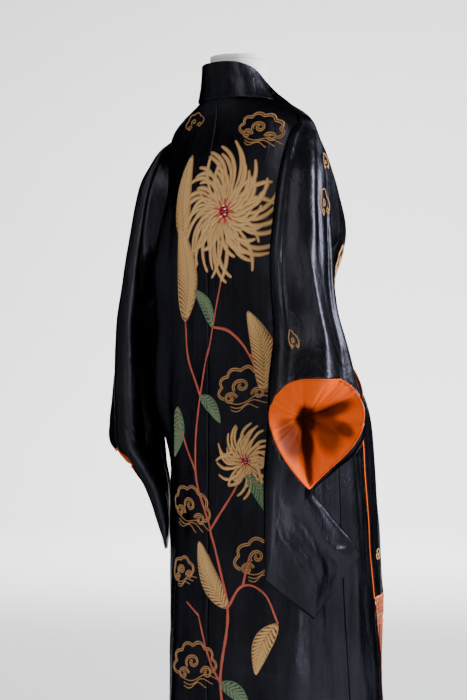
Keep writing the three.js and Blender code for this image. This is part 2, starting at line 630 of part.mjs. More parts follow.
// Closed tube through rings of points
function tube(rings) {
  const sides = rings[0].length;
  const positions = rings.flat().flatMap((point) => point.toArray());
  const index = [];
  for (let i = 0; i < rings.length - 1; i += 1) {
    for (let j = 0; j < sides; j += 1) {
      const a = i * sides + j;
      const b = i * sides + ((j + 1) % sides);
      index.push(a, b, b + sides, a, b + sides, a + sides);
    }
  }
  const last = (rings.length - 1) * sides;
  for (let j = 1; j < sides - 1; j += 1) {
    index.push(0, j + 1, j, last, last + j, last + j + 1);
  }
  const geometry = new THREE.BufferGeometry();
  geometry.setAttribute('position', new THREE.Float32BufferAttribute(positions, 3));
  geometry.setIndex(signedVolume(positions, index) > 0 ? index : index.reverse());
  return geometry;
}

// ---------------------------------------------------------------- dress form and stand
function formRing(z, sides) {
  const ring = [];
  const neck = smooth(1418, 1446, z);
  for (let j = 0; j < sides; j += 1) {
    const angle = (360 * j) / sides;
    const shoulders = sectionPoint(BODY, angle, Math.min(z, 1430), FORM_SEAT);
    const torso = sectionPoint(FORM, angle, Math.min(z, 1306));
    const point = torso.lerp(shoulders, smooth(1300, 1345, z));
    const round = new THREE.Vector3(
      NECK_RADIUS * Math.cos(radians(angle)),
      NECK_CENTRE_Y + NECK_RADIUS * Math.sin(radians(angle)), z);
    point.lerp(round, neck).setZ(z);
    ring.push(point);
  }
  return ring;
}
function formTorso() {
  const heights = [FORM_LOW_Z, 862, 900, 970, 1040, 1130, 1210, 1270, 1310, 1346, 1374,
    ARMHOLE_TOP_Z, 1408, 1421, 1432, 1448, NECK_TOP_Z];
  return tube(heights.map((z) => formRing(z, FORM_SIDES)));
}
function formCap() {
  const profile = [[0, NECK_TOP_Z + SEAM], [NECK_RADIUS, NECK_TOP_Z + SEAM],
    [NECK_RADIUS, CAP_TOP_Z - 3], [NECK_RADIUS - 3, CAP_TOP_Z], [0, CAP_TOP_Z]];
  return new THREE.LatheGeometry(profile.map(([x, y]) => new THREE.Vector2(x, y)), 36)
    .rotateX(Math.PI / 2).translate(0, NECK_CENTRE_Y, 0);
}
function standPole() {
  const height = FORM_LOW_Z - BASE_HEIGHT - 2 * SEAM;
  return new THREE.CylinderGeometry(POLE_RADIUS, POLE_RADIUS, height, 24)
    .rotateX(Math.PI / 2).translate(0, 0, BASE_HEIGHT + SEAM + height / 2);
}
function standBase() {
  const profile = [[0, 0], [BASE_RADIUS, 0], [BASE_RADIUS, BASE_HEIGHT - BASE_EDGE],
    [BASE_RADIUS - BASE_EDGE, BASE_HEIGHT], [0, BASE_HEIGHT]];
  return new THREE.LatheGeometry(profile.map(([x, y]) => new THREE.Vector2(x, y)), 48)
    .rotateX(Math.PI / 2);
}

// ---------------------------------------------------------------- the object
const robe = new THREE.Group();
function add(name, geometry, material) {
  const mesh = new THREE.Mesh(geometry, material);
  mesh.name = name;
  robe.add(mesh);
}

add('back_left', bodyPanel(armholeBack, () => 90, 9), blackSilk());
add('back_right', bodyPanel(() => 90, (z) => 180 - armholeBack(z), 9), blackSilk());
add('front_right', bodyPanel((z) => 180 + armholeFront(z), frontEdgeRight, 15), blackSilk());
add('front_left', bodyPanel(frontEdgeLeft, (z) => 360 - armholeFront(z), 15, overLift),
  blackSilk());
add('sleeve_right', sleeve(RIGHT_SLEEVE, -1, RIGHT_MOUTH), blackSilk());
add('sleeve_left', sleeve(LEFT_SLEEVE, 1, LEFT_MOUTH), blackSilk());
add('lining_right', sleeveLining(RIGHT_SLEEVE, -1, RIGHT_MOUTH, 1010, 690), orangeSilk());
add('lining_left', sleeveLining(LEFT_SLEEVE, 1, LEFT_MOUTH, 900, 710), orangeSilk());
add('collar_back', neckBand(), blackSilk());
add('collar_left', frontBand(1, COLLAR_FRONT_LOW_Z, overLift), blackSilk());
add('collar_right', frontBand(-1, COLLAR_CROSSING_Z, () => 0), blackSilk());
add('sash_band', sashBand(), blackSilk());
add('sash_knot', sashKnot(), blackSilk());
for (const end of SASH_ENDS) {
  add(`sash_end_${end.name}`, sashEnd(end), blackSilk());
  add(`sash_lining_${end.name}`, sashLining(end), orangeSilk());
  add(`fringe_${end.name}`, fringe(end), orangeSilk());
}
add('form_torso', formTorso(), formCloth());
add('form_cap', formCap(), formCloth());
add('stand_pole', standPole(), paintedSteel());
add('stand_base', standBase(), paintedSteel());

export default robe;
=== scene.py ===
"""A lined silk robe in kimono cut on a limbless dress form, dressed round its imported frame.

Lengths in the tables are millimetres and angles are degrees round the body: 0 is the
wearer's left, 90 the back, 180 the wearer's right and 270 the front.
"""
import math

import bmesh
import bpy
import numpy as np
from bpy.props import FloatProperty, FloatVectorProperty, PointerProperty
from bpy.types import Operator, Panel, PropertyGroup
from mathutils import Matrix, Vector


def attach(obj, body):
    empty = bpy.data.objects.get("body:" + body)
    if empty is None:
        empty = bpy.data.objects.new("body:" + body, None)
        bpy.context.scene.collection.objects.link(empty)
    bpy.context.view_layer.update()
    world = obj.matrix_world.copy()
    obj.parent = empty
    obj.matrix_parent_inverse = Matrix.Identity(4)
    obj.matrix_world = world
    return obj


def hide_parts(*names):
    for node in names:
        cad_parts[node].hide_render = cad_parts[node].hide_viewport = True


bl_info = {
    "name": "Silk Robe",
    "version": (1, 0, 0),
    "blender": (4, 5, 0),
    "location": "View3D > Sidebar > Robe",
    "description": "Builds a lined silk robe on its dress form round a fixed frame",
    "category": "Add Mesh",
}

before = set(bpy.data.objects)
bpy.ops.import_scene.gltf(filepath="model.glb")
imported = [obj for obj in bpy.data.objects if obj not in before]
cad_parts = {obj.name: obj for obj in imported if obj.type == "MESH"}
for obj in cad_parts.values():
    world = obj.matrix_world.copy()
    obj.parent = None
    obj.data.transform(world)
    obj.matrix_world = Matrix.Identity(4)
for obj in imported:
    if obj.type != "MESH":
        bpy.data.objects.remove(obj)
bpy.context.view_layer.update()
MM = 0.001

# ------------------------------------------------------------------ sizes of the robe
WALL = 1.6
SLEEVE_WALL = 1.2
LINING_WALL = 0.9
SEAM = 0.3
OVERLAP_LIFT = 4.4
HEM_Z = 132
ARMHOLE_LOW_Z = 1160
ARMHOLE_TOP_Z = 1392
ARMHOLE_BACK_ANGLE = 34
ARMHOLE_FRONT_ANGLE = 22
NECKLINE_Z = 1432
PANEL_TOP_Z = 1441
V_POINT_Z = 1215
COLLAR_WALL = 3
SASH_LOW_Z = 1016
SASH_HIGH_Z = 1062
SASH_RISE = 7.0
SASH_WALL = 2
SASH_ANGLES = (187, 353)
NECK_RADIUS = 50
NECK_CENTRE_Y = 22
NECK_TOP_Z = 1504
CAP_TOP_Z = 1512
FORM_LOW_Z = 850
POLE_RADIUS = 14
BASE_RADIUS = 165
BASE_HEIGHT = 14
FRONT_POWER = 2.2
BACK_POWER = 2.7


def table(columns, *rows):
    """Rows with named columns; a column that a short row leaves out is 0."""
    return [dict(zip(columns.split(), row)) for row in rows]


BODY = table(
    "z half front back",
    (132, 198, -248, 98), (280, 194, -239, 97), (423, 190, -229, 96), (572, 187, -209, 94),
    (770, 182, -191, 93), (930, 176, -173, 93), (984, 170, -146, 93), (1038, 164, -126, 93),
    (1097, 161, -113, 94), (1162, 164, -142, 96), (1208, 167, -152, 97), (1267, 170, -130, 96),
    (1306, 172, -107, 92), (1340, 172, -83, 86), (1370, 168, -58, 79), (1392, 156, -49, 75),
    (1408, 134, -43, 73), (1422, 104, -38, 73), (1434, 72, -32, 75), (1442, 60, -30, 76),
)
# The deep folds that the solids have too; positive depth stands out
FOLDS = table(
    "angle width depth start full last gone",
    (46, 15, 32, 1310, 1150, 930, 790), (68, 8, 5, 1340, 1100), (112, 9, -4, 1250, 900),
    (150, 9, 4, 900, 420), (176, 9, -5, 980, 500), (205, 10, 6, 1000, 380),
    (226, 9, -6, 900, 300), (250, 11, 5, 980, 300), (288, 11, -6, 1000, 300),
    (312, 10, 5, 960, 300), (340, 10, -5, 960, 400), (10, 9, 4, 640, 400),
    (38, 9, -4, 900, 400),
)
FRONT_EDGE = table(
    "z angle",
    (132, 214), (700, 216), (1038, 226), (1130, 246), (1215, 270), (1300, 291),
    (1370, 311), (1408, 332), (1432, 350),
)
# Levels of a sleeve: where its back and front folds stand, half its thickness at the folds,
# how far its outer face bulges and its inner face sags, and how far each fold is raised
SLEEVE_COLUMNS = "z backX backY frontX frontY thick bulge sag dropBack dropFront"
RIGHT_SLEEVE = table(
    SLEEVE_COLUMNS,
    (1389, -162, 30, -166, -4, 5, 1), (1374, -168, 53, -173, -6, 7, 6),
    (1346, -171, 69, -182, -8, 9, 12), (1310, -173, 82, -190, -8, 11, 16),
    (1262, -175, 94, -196, -6, 12, 18), (1208, -178, 105, -200, -6, 12, 20),
    (1160, -181, 113, -204, -6, 12, 22), (1110, -182, 113, -208, -6, 13, 26),
    (1060, -184, 110, -214, -10, 14, 30), (1015, -188, 112, -226, -16, 17, 34),
    (978, -192, 122, -244, -12, 20, 38), (946, -196, 131, -262, -5, 23, 40, 5),
    (905, -200, 137, -290, 2, 25, 40, 10), (862, -200, 139, -286, -1, 25, 40, 10),
    (828, -199, 141, -262, -1, 23, 36, 6), (800, -198, 141, -227, 12, 20, 30),
    (768, -197, 140, -207, 41, 15, 22), (738, -196, 139, -211, 23, 14, 20, 0, 2, 3),
    (692, -195, 138, -217, -9, 12, 18, 0, 8, 15), (650, -195, 137, -223, -29, 9, 14, 0, 18, 36),
    (612, -194, 137, -226, -39, 6.5, 9, 0, 34, 60), (580, -194, 137, -228, -45, 4, 3, 0, 54, 84),
    (556, -194, 137, -229, -48, 2.4, 0, 0, 70, 102),
)
LEFT_SLEEVE = table(
    SLEEVE_COLUMNS,
    (1389, 163, 32, 168, -6, 5, 2), (1374, 174, 56, 188, -10, 8, 5),
    (1346, 180, 72, 198, -12, 11, 8), (1310, 187, 84, 210, -12, 13, 11),
    (1262, 195, 92, 221, -10, 14, 14), (1208, 202, 98, 231, -8, 15, 16),
    (1160, 208, 103, 240, -8, 16, 18), (1110, 213, 107, 248, -10, 18, 20),
    (1060, 219, 111, 257, -12, 20, 21), (1010, 219, 113, 263, -12, 22, 22, 2),
    (960, 216, 114, 269, -10, 24, 24, 6), (915, 211, 115, 275, -4, 25, 25, 9),
    (870, 204, 116, 278, 0, 26, 26, 12), (828, 195, 117, 271, 3, 26, 26, 13),
    (795, 171, 107, 259, 3, 22, 11, 8), (762, 151, 98, 246, -3, 18, 2, 4),
    (730, 137, 93, 237, -4, 15, 0, 1), (700, 128, 92, 232, -5, 12, 0, 0, 4, 3),
    (665, 122, 91, 230, -5, 7, 0, 0, 13, 9), (640, 120, 90, 229, -5, 2.4, 0, 0, 24, 16),
)
RIGHT_MOUTH = {"at": (-246, 70, 864.5), "facing": (-0.83, 0.52, -0.2), "width": 154,
               "height": 187, "lean": -9, "depth": 13}
LEFT_MOUTH = {"at": (236, 82, 780), "facing": (0.455, 0.505, -0.73), "width": 118,
              "height": 84, "lean": 0, "depth": 18}
DROP_WIDEST = 0.77
MOUTH_ROLL = 1.5
MOUTH_STEPS = 150
HOLLOW_SHADE = 0.985
COLLAR_NECK = table(
    "footX footY footZ topX topY topZ",
    (0, 80, 1434, 0, 84, 1497), (32, 78, 1434, 28, 79, 1497), (60, 65, 1434, 50, 64, 1495),
    (77, 36, 1433, 58, 38, 1486), (85, 9, 1429, 60, 10, 1464), (89.5, -4, 1425, 62.5, -5, 1452),
)
COLLAR_TUCK = 2.4
COLLAR_FRONT_WIDTH = 48
COLLAR_FRONT_LOW_Z = 1100
COLLAR_CROSSING_Z = 1264
KNOT_ANGLE = 258
KNOT_SPREAD = 4
KNOT_SIZE = (30, 17, 24)
SASH_ENDS = table(
    "name angle width top length stand",
    ("outer", 230, 60, 1015.2, 450, 21), ("inner", 272, 60, 1017.7, 426, 14),
)
FORM = table(
    "z half front back",
    (850, 124, -110, 74), (862, 138, -120, 80), (930, 146, -124, 82), (1040, 126, -90, 72),
    (1160, 138, -110, 78), (1210, 144, -118, 80), (1270, 152, -104, 82), (1306, 156, -86, 80),
)

# ------------------------------------------------------------------ creases of the silk
# Soft troughs and ridges on the body, each from one place to another: angle and height at
# both ends, width, and how far it stands out
BODY_CREASES = table(
    "a0 z0 a1 z1 width depth",
    (96, 1400, 80, 980, 16, 1.6), (128, 1380, 120, 1120, 11, -1.4),
    (104, 1180, 122, 700, 15, -1.8), (140, 1090, 132, 560, 13, 2.2),
    (86, 900, 78, 400, 17, 1.8), (118, 760, 108, 260, 15, -2.0), (96, 520, 102, 140, 14, 1.6),
    (60, 1020, 66, 420, 13, -2.0), (160, 800, 154, 240, 12, 2.6), (168, 900, 172, 420, 9, -2.4),
    (186, 960, 190, 300, 12, 2.8), (196, 1000, 200, 640, 8, 2.4), (204, 900, 202, 560, 7, -2.2),
    (191, 880, 194, 610, 6, 1.8), (210, 860, 214, 240, 13, 2.4), (236, 900, 238, 200, 14, -2.6),
    (262, 940, 268, 180, 14, 2.8), (296, 900, 298, 240, 14, -2.4), (322, 860, 326, 220, 12, 2.4),
    (350, 840, 346, 260, 12, -2.2), (20, 760, 24, 240, 12, 2.2),
    (200, 1330, 222, 1140, 9, 2.2), (212, 1350, 236, 1150, 8, -1.8),
    (340, 1330, 318, 1140, 9, 2.0), (330, 1350, 306, 1160, 8, -1.8),
    (184, 838, 212, 826, 7, 1.6), (186, 822, 208, 812, 6, -1.4), (60, 700, 100, 676, 7, 0.9),
    (100, 470, 140, 452, 7, 0.9), (240, 760, 282, 744, 8, 1.2),
)
# The same on the outer faces of the sleeves: across the face from its middle towards the
# front fold, and height
RIGHT_SLEEVE_CREASES = table(
    "a0 z0 a1 z1 width depth",
    (30, 1380, 34, 1040, 9, 4.2), (14, 1372, 16, 1120, 7, -2.6), (44, 1340, 52, 1060, 6, -2.2),
    (-24, 1340, -30, 1020, 10, 2.0), (-8, 1180, 6, 980, 8, 2.4), (22, 1120, 44, 980, 6, 1.8),
    (34, 1300, 40, 1210, 4, 0.9), (26, 1362, 30, 1300, 3.5, 0.8), (38, 1240, 42, 1150, 4, 0.8),
    (-84, 742, -8, 556, 22, 9.0), (-22, 764, 52, 606, 17, -6.0), (-40, 690, 6, 590, 7, 2.2),
    (24, 690, 66, 606, 9, 4.0), (4, 700, 34, 600, 6, -2.6), (-64, 700, -40, 660, 5, 1.8),
    (-40, 640, 0, 600, 4, 1.2), (-52, 690, -10, 655, 4, -1.2), (40, 650, 70, 632, 4, 1.4),
    (-92, 640, -60, 588, 5, 1.6), (-70, 600, -20, 566, 4, 1.0), (-40, 812, -52, 752, 8, -2.4),
    (18, 790, 52, 730, 7, 1.8),
)
LEFT_SLEEVE_CREASES = table(
    "a0 z0 a1 z1 width depth",
    (10, 1370, 18, 1020, 12, 2.8), (-20, 1350, -26, 1080, 10, -2.0), (34, 1300, 30, 960, 9, 2.0),
    (-40, 1200, -20, 900, 10, 2.2), (0, 1080, 24, 860, 8, -1.8), (-50, 780, 20, 700, 9, 2.2),
    (-30, 740, 36, 690, 7, -1.8),
)
# Small uneven ripples over all of the silk: how fast each one changes across and up the
# cloth, its height and its phase
RIPPLES = table(
    "across up height phase",
    (0.021, 0.006, 0.55, 0.3), (-0.034, 0.011, 0.42, 1.9), (0.057, -0.008, 0.28, 4.1),
    (0.012, 0.029, 0.34, 2.2), (-0.081, 0.017, 0.16, 5.3), (0.043, 0.047, 0.14, 0.9),
)


def smooth(low, high, x):
    """Goes softly from 0 at low to 1 at high."""
    s = np.clip((x - low) / (high - low), 0, 1)
    return s * s * (3 - 2 * s)


def mix(a, b, s):
    """The value at share s of the way from a to b."""
    return a + (b - a) * s


def column(rows, key, z):
    """Values of a column at the heights z, on a smooth curve through the rows."""
    rows = sorted(rows, key=lambda row: row["z"])
    place = np.array([row["z"] for row in rows], float)
    value = np.array([row.get(key, 0) for row in rows], float)
    k = np.arange(len(rows))
    low, high = np.maximum(k - 1, 0), np.minimum(k + 1, len(rows) - 1)
    slope = (value[high] - value[low]) / (place[high] - place[low])
    z = np.clip(z, place[0], place[-1])
    i = np.clip(np.searchsorted(place, z) - 1, 0, len(rows) - 2)
    step = place[i + 1] - place[i]
    s = (z - place[i]) / step
    return (value[i] * (2 * s**3 - 3 * s**2 + 1) + slope[i] * step * (s**3 - 2 * s**2 + s)
            + value[i + 1] * (3 * s**2 - 2 * s**3) + slope[i + 1] * step * (s**3 - s**2))


def section(rows, angle, z, inset=0.0):
    """A section that is a half superellipse in front and another at the back."""
    half = column(rows, "half", z) - inset
    front = column(rows, "front", z) + inset
    back = column(rows, "back", z) - inset
    c, s = np.cos(np.radians(angle)), np.sin(np.radians(angle))
    power = np.where(s >= 0, BACK_POWER, FRONT_POWER)
    x = half * np.sign(c) * np.abs(c) ** (2 / power)
    y = (front + back) / 2 + (back - front) / 2 * np.sign(s) * np.abs(s) ** (2 / power)
    return np.stack(np.broadcast_arrays(x, y, np.asarray(z, float)), -1)


def crease_height(creases, a, z, a_size=1.0):
    """Height of straight creases at places (a, z); a_size is millimetres to one of a."""
    height = 0
    for row in creases:
        ax, az = row["a0"] * a_size, row["z0"]
        dx, dz = row["a1"] * a_size - ax, row["z1"] - az
        size = math.hypot(dx, dz)
        along = ((a * a_size - ax) * dx + (z - az) * dz) / size
        away = ((a * a_size - ax) * dz - (z - az) * dx) / size
        ends = smooth(-0.12 * size, 0.28 * size, along) * smooth(1.12 * size, 0.7 * size, along)
        bend = 0.12 * row["width"] * np.sin(along / 37 + row["z0"])
        height = height + row["depth"] * ends * np.exp(-(((away + bend) / row["width"]) ** 2))
    return height


def ripple_height(a, z):
    """Height of the silk's ripples at places (a, z)."""
    return sum(r["height"] * np.sin(r["across"] * a * 2 + r["up"] * z * 2 + r["phase"]
                                    + 0.9 * np.sin(0.013 * z - 0.011 * a + r["phase"]))
               for r in RIPPLES)


MM_PER_DEGREE = 3.0


def fold_height(angle, z):
    """How far the deep folds stand out of the body."""
    height = 0
    for fold in FOLDS:
        away = (angle - fold["angle"] + 540) % 360 - 180
        height = height + (fold["depth"] * np.exp(-((away / fold["width"]) ** 2))
                           * smooth(fold["start"], fold["full"], z)
                           * (smooth(fold["gone"], fold["last"], z) if "last" in fold else 1))
    return height


def body_point(angle, z):
    """The robe body's outer surface, deep folds only."""
    angle, z = np.broadcast_arrays(np.asarray(angle, float), np.asarray(z, float))
    turn = np.radians(angle)
    outward = np.stack([np.cos(turn), np.sin(turn), 0 * turn], -1)
    return section(BODY, angle, z) + outward * fold_height(angle, z)[..., None]


def unit(v):
    """Vectors of length 1 in the same directions."""
    return v / np.maximum(np.linalg.norm(v, axis=-1, keepdims=True), 1e-9)


def body_at(angle, z, out=0.0):
    """A place on the robe's body, moved out by a distance; the silk's creases count."""
    angle, z = np.broadcast_arrays(np.asarray(angle, float), np.asarray(z, float))
    across = body_point(angle + 0.4, z) - body_point(angle - 0.4, z)
    up = body_point(angle, z + 1.5) - body_point(angle, z - 1.5)
    normal = unit(np.cross(across, up))
    quiet = smooth(NECKLINE_Z, NECKLINE_Z - 60, z)
    crease = crease_height(BODY_CREASES, angle % 360, z, MM_PER_DEGREE)
    crease = (crease + ripple_height(MM_PER_DEGREE * angle, z)) * quiet
    return body_point(angle, z) + normal * (np.asarray(out) + crease)[..., None]


def degrees_for(length, angle, z):
    """Degrees round the body that a length takes up at a place."""
    size = np.linalg.norm(body_point(angle + 0.5, z) - body_point(angle - 0.5, z), axis=-1)
    return length / size


def armhole(widest, z):
    """Degrees that an armhole takes from a panel's side."""
    s = np.clip((z - ARMHOLE_LOW_Z) / (ARMHOLE_TOP_Z - ARMHOLE_LOW_Z), 0, 1)
    return widest * np.maximum(np.sin(np.pi * s**0.8), 0) ** 0.75


def front_edge_left(z):
    """Angle of the left front's free edge."""
    return column(FRONT_EDGE, "angle", z)


def front_edge_right(z):
    """Angle of the right front's free edge."""
    return 540 - front_edge_left(z)


def over_lift(angle, z):
    """How far the left front lies out over the right one."""
    edge = front_edge_right(z)
    return (OVERLAP_LIFT * (1 - smooth(edge + 8, edge + 28, angle))
            * smooth(V_POINT_Z + 40, V_POINT_Z, z))


# ------------------------------------------------------------------ making pieces
def select_only(*pieces):
    """Selects pieces and makes the last one active."""
    if bpy.context.object and bpy.context.object.mode != "OBJECT":
        bpy.ops.object.mode_set(mode="OBJECT")
    bpy.ops.object.select_all(action="DESELECT")
    for piece in pieces:
        piece.select_set(True)
    bpy.context.view_layer.objects.active = pieces[-1]


def new_piece(name, points, faces, *materials):
    """A smooth mesh piece from points in millimetres."""
    mesh = bpy.data.meshes.new(name)
    mesh.from_pydata((np.asarray(points, float).reshape(-1, 3) * MM).tolist(), [], faces)
    mesh.shade_smooth()
    for material in materials:
        mesh.materials.append(material)
    piece = bpy.data.objects.new(name, mesh)
    bpy.context.collection.objects.link(piece)
    return piece


def grid_faces(rows, cols, wrap=False, flip=False):
    """Four-sided faces of a grid of points; wrap closes its columns to a ring."""
    i, j = np.meshgrid(np.arange(rows - 1), np.arange(cols if wrap else cols - 1),
                       indexing="ij")
    a, b = i * cols + j, i * cols + (j + 1) % cols
    faces = np.stack([a, b, b + cols, a + cols], -1).reshape(-1, 4)
    return (faces[:, ::-1] if flip else faces).tolist()


def apply_modifier(piece, kind, **settings):
    modifier = piece.modifiers.new(kind.title(), kind)
    for key, value in settings.items():
        setattr(modifier, key, value)
    select_only(piece)
    bpy.ops.object.modifier_apply(modifier=modifier.name)


def give_wall(piece, thickness, lined=False):
    """Turns a sheet into a wall that grows inwards; the inside may be the lining."""
    apply_modifier(piece, "SOLIDIFY", thickness=thickness * MM, offset=-1,
                   material_offset=1 if lined else 0, use_quality_normals=True)


def sheet_piece(name, grid, thickness, materials, flip=False, lined=True):
    """A piece of lined cloth from a grid of its outer points."""
    rows, cols = grid.shape[:2]
    piece = new_piece(name, grid, grid_faces(rows, cols, flip=flip), *materials)
    give_wall(piece, thickness, lined)
    return piece


def settle(piece, slot=None, *nodes):
    """Rides on the frame and stands for its nodes; its finish slot is not used."""
    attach(piece, "root")
    if nodes:
        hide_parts(*nodes)
    return piece


# ------------------------------------------------------------------ finishes
def add_node(tree, kind, inputs=None, **settings):
    """A shader node; an input value that is a socket is linked to it."""
    made = tree.nodes.new(kind)
    for key, value in settings.items():
        setattr(made, key, value)
    for key, value in (inputs or {}).items():
        if isinstance(value, bpy.types.NodeSocket):
            tree.links.new(value, made.inputs[key])
        else:
            made.inputs[key].default_value = value
    return made


def maths(tree, operation, a, b=0.0, c=0.0):
    return add_node(tree, "ShaderNodeMath", {0: a, 1: b, 2: c}, operation=operation).outputs[0]


def noise(tree, place, scale, detail=2.0, stretch=(1, 1, 1), distortion=0.0):
    """Noise from 0 to 1 on a stretched place."""
    mapped = add_node(tree, "ShaderNodeMapping", {"Vector": place, "Scale": stretch})
    return add_node(tree, "ShaderNodeTexNoise", {
        "Vector": mapped.outputs[0], "Scale": scale, "Detail": detail,
        "Distortion": distortion}).outputs["Fac"]


def new_group(name, inputs, outputs):
    """An empty node group with its inputs and its outputs, which are values."""
    group = bpy.data.node_groups.new(name, "ShaderNodeTree")
    for label, kind, value in inputs:
        socket = group.interface.new_socket(name=label, in_out="INPUT", socket_type=kind)
        if value is not None:
            socket.default_value = value
    for label in outputs:
        group.interface.new_socket(name=label, in_out="OUTPUT", socket_type="NodeSocketFloat")
    return group, group.nodes.new("NodeGroupInput"), group.nodes.new("NodeGroupOutput")


def satin_threads_group():
    """Warp floats, uneven threads and slow changes of tone on satin."""
    group, given, out = new_group("Satin Threads", [
        ("Place", "NodeSocketVector", None), ("Threads", "NodeSocketFloat", 700.0)],
        ["Height", "Tone"])
    place, threads = given.outputs["Place"], given.outputs["Threads"]
    floats = noise(group, place, threads, 1.0, (1, 1, 0.05))
    slubs = noise(group, place, 120.0, 3.0, (1, 1, 0.06))
    fine = noise(group, place, threads, 1.0)
    height = maths(group, "MULTIPLY_ADD", floats, 0.55, maths(group, "MULTIPLY", slubs, 0.3))
    height = maths(group, "MULTIPLY_ADD", fine, 0.15, height)
    tone = maths(group, "MULTIPLY_ADD", noise(group, place, 9.0, 4.0), 0.6,
                 maths(group, "MULTIPLY", slubs, 0.4))
    group.links.new(height, out.inputs["Height"])
    group.links.new(tone, out.inputs["Tone"])
    return group


def crinkles_group():
    """Small soft crinkles that lie mostly up and down."""
    group, given, out = new_group("Soft Crinkles", [
        ("Place", "NodeSocketVector", None), ("Size", "NodeSocketFloat", 30.0)], ["Height"])
    place, size = given.outputs["Place"], given.outputs["Size"]
    long = noise(group, place, size, 2.0, (1, 1, 0.28), 0.7)
    small = noise(group, place, maths(group, "MULTIPLY", size, 2.7), 2.0, (1, 1, 0.6), 1.2)
    height = maths(group, "MULTIPLY_ADD", small, 0.3, maths(group, "MULTIPLY", long, 0.7))
    group.links.new(height, out.inputs["Height"])
    return group


def laid_thread_group():
    """Plies or stitches along a sewn cord or patch: Along and Across come from its UV map. Its
    Tone is painted shade in the stitches' grooves and painted highlight on their crests, mixed
    with random unevenness.
    """
    group, given, out = new_group("Laid Thread", [
        ("Along", "NodeSocketFloat", 0.0), ("Across", "NodeSocketFloat", 0.0),
        ("Pitch", "NodeSocketFloat", 1.6), ("Slant", "NodeSocketFloat", 1.0)],
        ["Height", "Tone"])
    along, across = given.outputs["Along"], given.outputs["Across"]
    turn = maths(group, "DIVIDE", along, given.outputs["Pitch"])
    turn = maths(group, "MULTIPLY_ADD", across, given.outputs["Slant"], turn)
    wave = maths(group, "SINE", maths(group, "MULTIPLY", turn, 2 * math.pi))
    height = maths(group, "MULTIPLY_ADD", wave, 0.5, 0.5)
    spot = add_node(group, "ShaderNodeCombineXYZ", {0: along, 1: across})
    uneven = noise(group, spot.outputs[0], 0.35, 3.0, (1, 4, 1))
    # Tone follows the stitch wave: painted shade in its grooves, painted highlight on its crests,
    # and random unevenness
    tone = maths(group, "MULTIPLY_ADD", height, 0.55, maths(group, "MULTIPLY", uneven, 0.45))
    group.links.new(height, out.inputs["Height"])
    group.links.new(tone, out.inputs["Tone"])
    return group


def ramp(tree, value, *stops):
    """Colours at the stops of a value."""
    made = add_node(tree, "ShaderNodeValToRGB", {"Fac": value})
    for i, (place, colour) in enumerate(stops):
        point = made.color_ramp.elements[i] if i < 2 else made.color_ramp.elements.new(place)
        point.position, point.color = place, (*colour, 1)
    return made.outputs["Color"]


def spread(tree, value, low, high, to_low, to_high):
    """Takes a value from one range to another."""
    return add_node(tree, "ShaderNodeMapRange", {
        "Value": value, "From Min": low, "From Max": high, "To Min": to_low,
        "To Max": to_high}).outputs["Result"]


def new_material(name, **constants):
    """A material whose constants are set on the shader's own sockets."""
    material = bpy.data.materials.new(name)
    material.use_nodes = True
    tree = material.node_tree
    shader = tree.nodes["Principled BSDF"]
    for key, value in constants.items():
        shader.inputs[key.replace("_", " ").title().replace("Ior", "IOR")].default_value = value
    return material, tree, shader


def place_of(tree):
    return add_node(tree, "ShaderNodeTexCoord").outputs["Object"]


def bumped(tree, shader, height, distance, below=None):
    """Relief of a height on the shader, over the relief below it."""
    inputs = {"Height": height, "Distance": distance, "Strength": 1.0}
    if below:
        inputs["Normal"] = below
    made = add_node(tree, "ShaderNodeBump", inputs).outputs["Normal"]
    tree.links.new(made, shader.inputs["Normal"])
    return made


GROUPS = {}
MATERIALS = {}


def use_group(tree, name, inputs):
    """A node of one of the shared groups."""
    return add_node(tree, "ShaderNodeGroup", inputs, node_tree=GROUPS[name])


def satin(name, dark, light, rough, crinkle, hollow, **constants):
    """Silk satin: fine threads, soft crinkles and uneven gloss, and painted shade that takes the
    colour towards hollow in deep folds, as a mesh attribute gives it.
    """
    material, tree, shader = new_material(name, **constants)
    place = place_of(tree)
    threads = use_group(tree, "threads", {"Place": place})
    soft = use_group(tree, "crinkles", {"Place": place})
    tone = threads.outputs["Tone"]
    # Painted shade: a point attribute takes the base colour towards the hollow colour in deep
    # folds
    deep = add_node(tree, "ShaderNodeAttribute", attribute_name="painted_fold_shade")
    silk = add_node(tree, "ShaderNodeMix", {
        "Factor": deep.outputs["Fac"], 6: ramp(tree, tone, (0.3, dark), (0.75, light)),
        7: (*hollow, 1)}, data_type="RGBA")
    tree.links.new(silk.outputs[2], shader.inputs["Base Color"])
    tree.links.new(spread(tree, tone, 0.3, 0.7, *rough), shader.inputs["Roughness"])
    under = bumped(tree, shader, soft.outputs["Height"], crinkle)
    bumped(tree, shader, threads.outputs["Height"], 0.00006, under)
    return material


def sewn(name, dark, light, pitch, slant, rough, depth, **constants):
    """Thread laid on the cloth, by the UV map of its cord or patch."""
    material, tree, shader = new_material(name, **constants)
    uv = add_node(tree, "ShaderNodeUVMap", uv_map="uv")
    split = add_node(tree, "ShaderNodeSeparateXYZ", {0: uv.outputs[0]})
    laid = use_group(tree, "laid", {"Along": split.outputs[0], "Across": split.outputs[1],
                                    "Pitch": pitch, "Slant": slant})
    tone = laid.outputs["Tone"]
    # Colour from the tone: painted shade in the grooves between stitches and painted highlight on
    # their crests
    tree.links.new(ramp(tree, tone, (0.2, dark), (0.8, light)), shader.inputs["Base Color"])
    tree.links.new(spread(tree, tone, 0.2, 0.8, rough + 0.12, rough - 0.05),
                   shader.inputs["Roughness"])
    bumped(tree, shader, laid.outputs["Height"], depth)
    return material


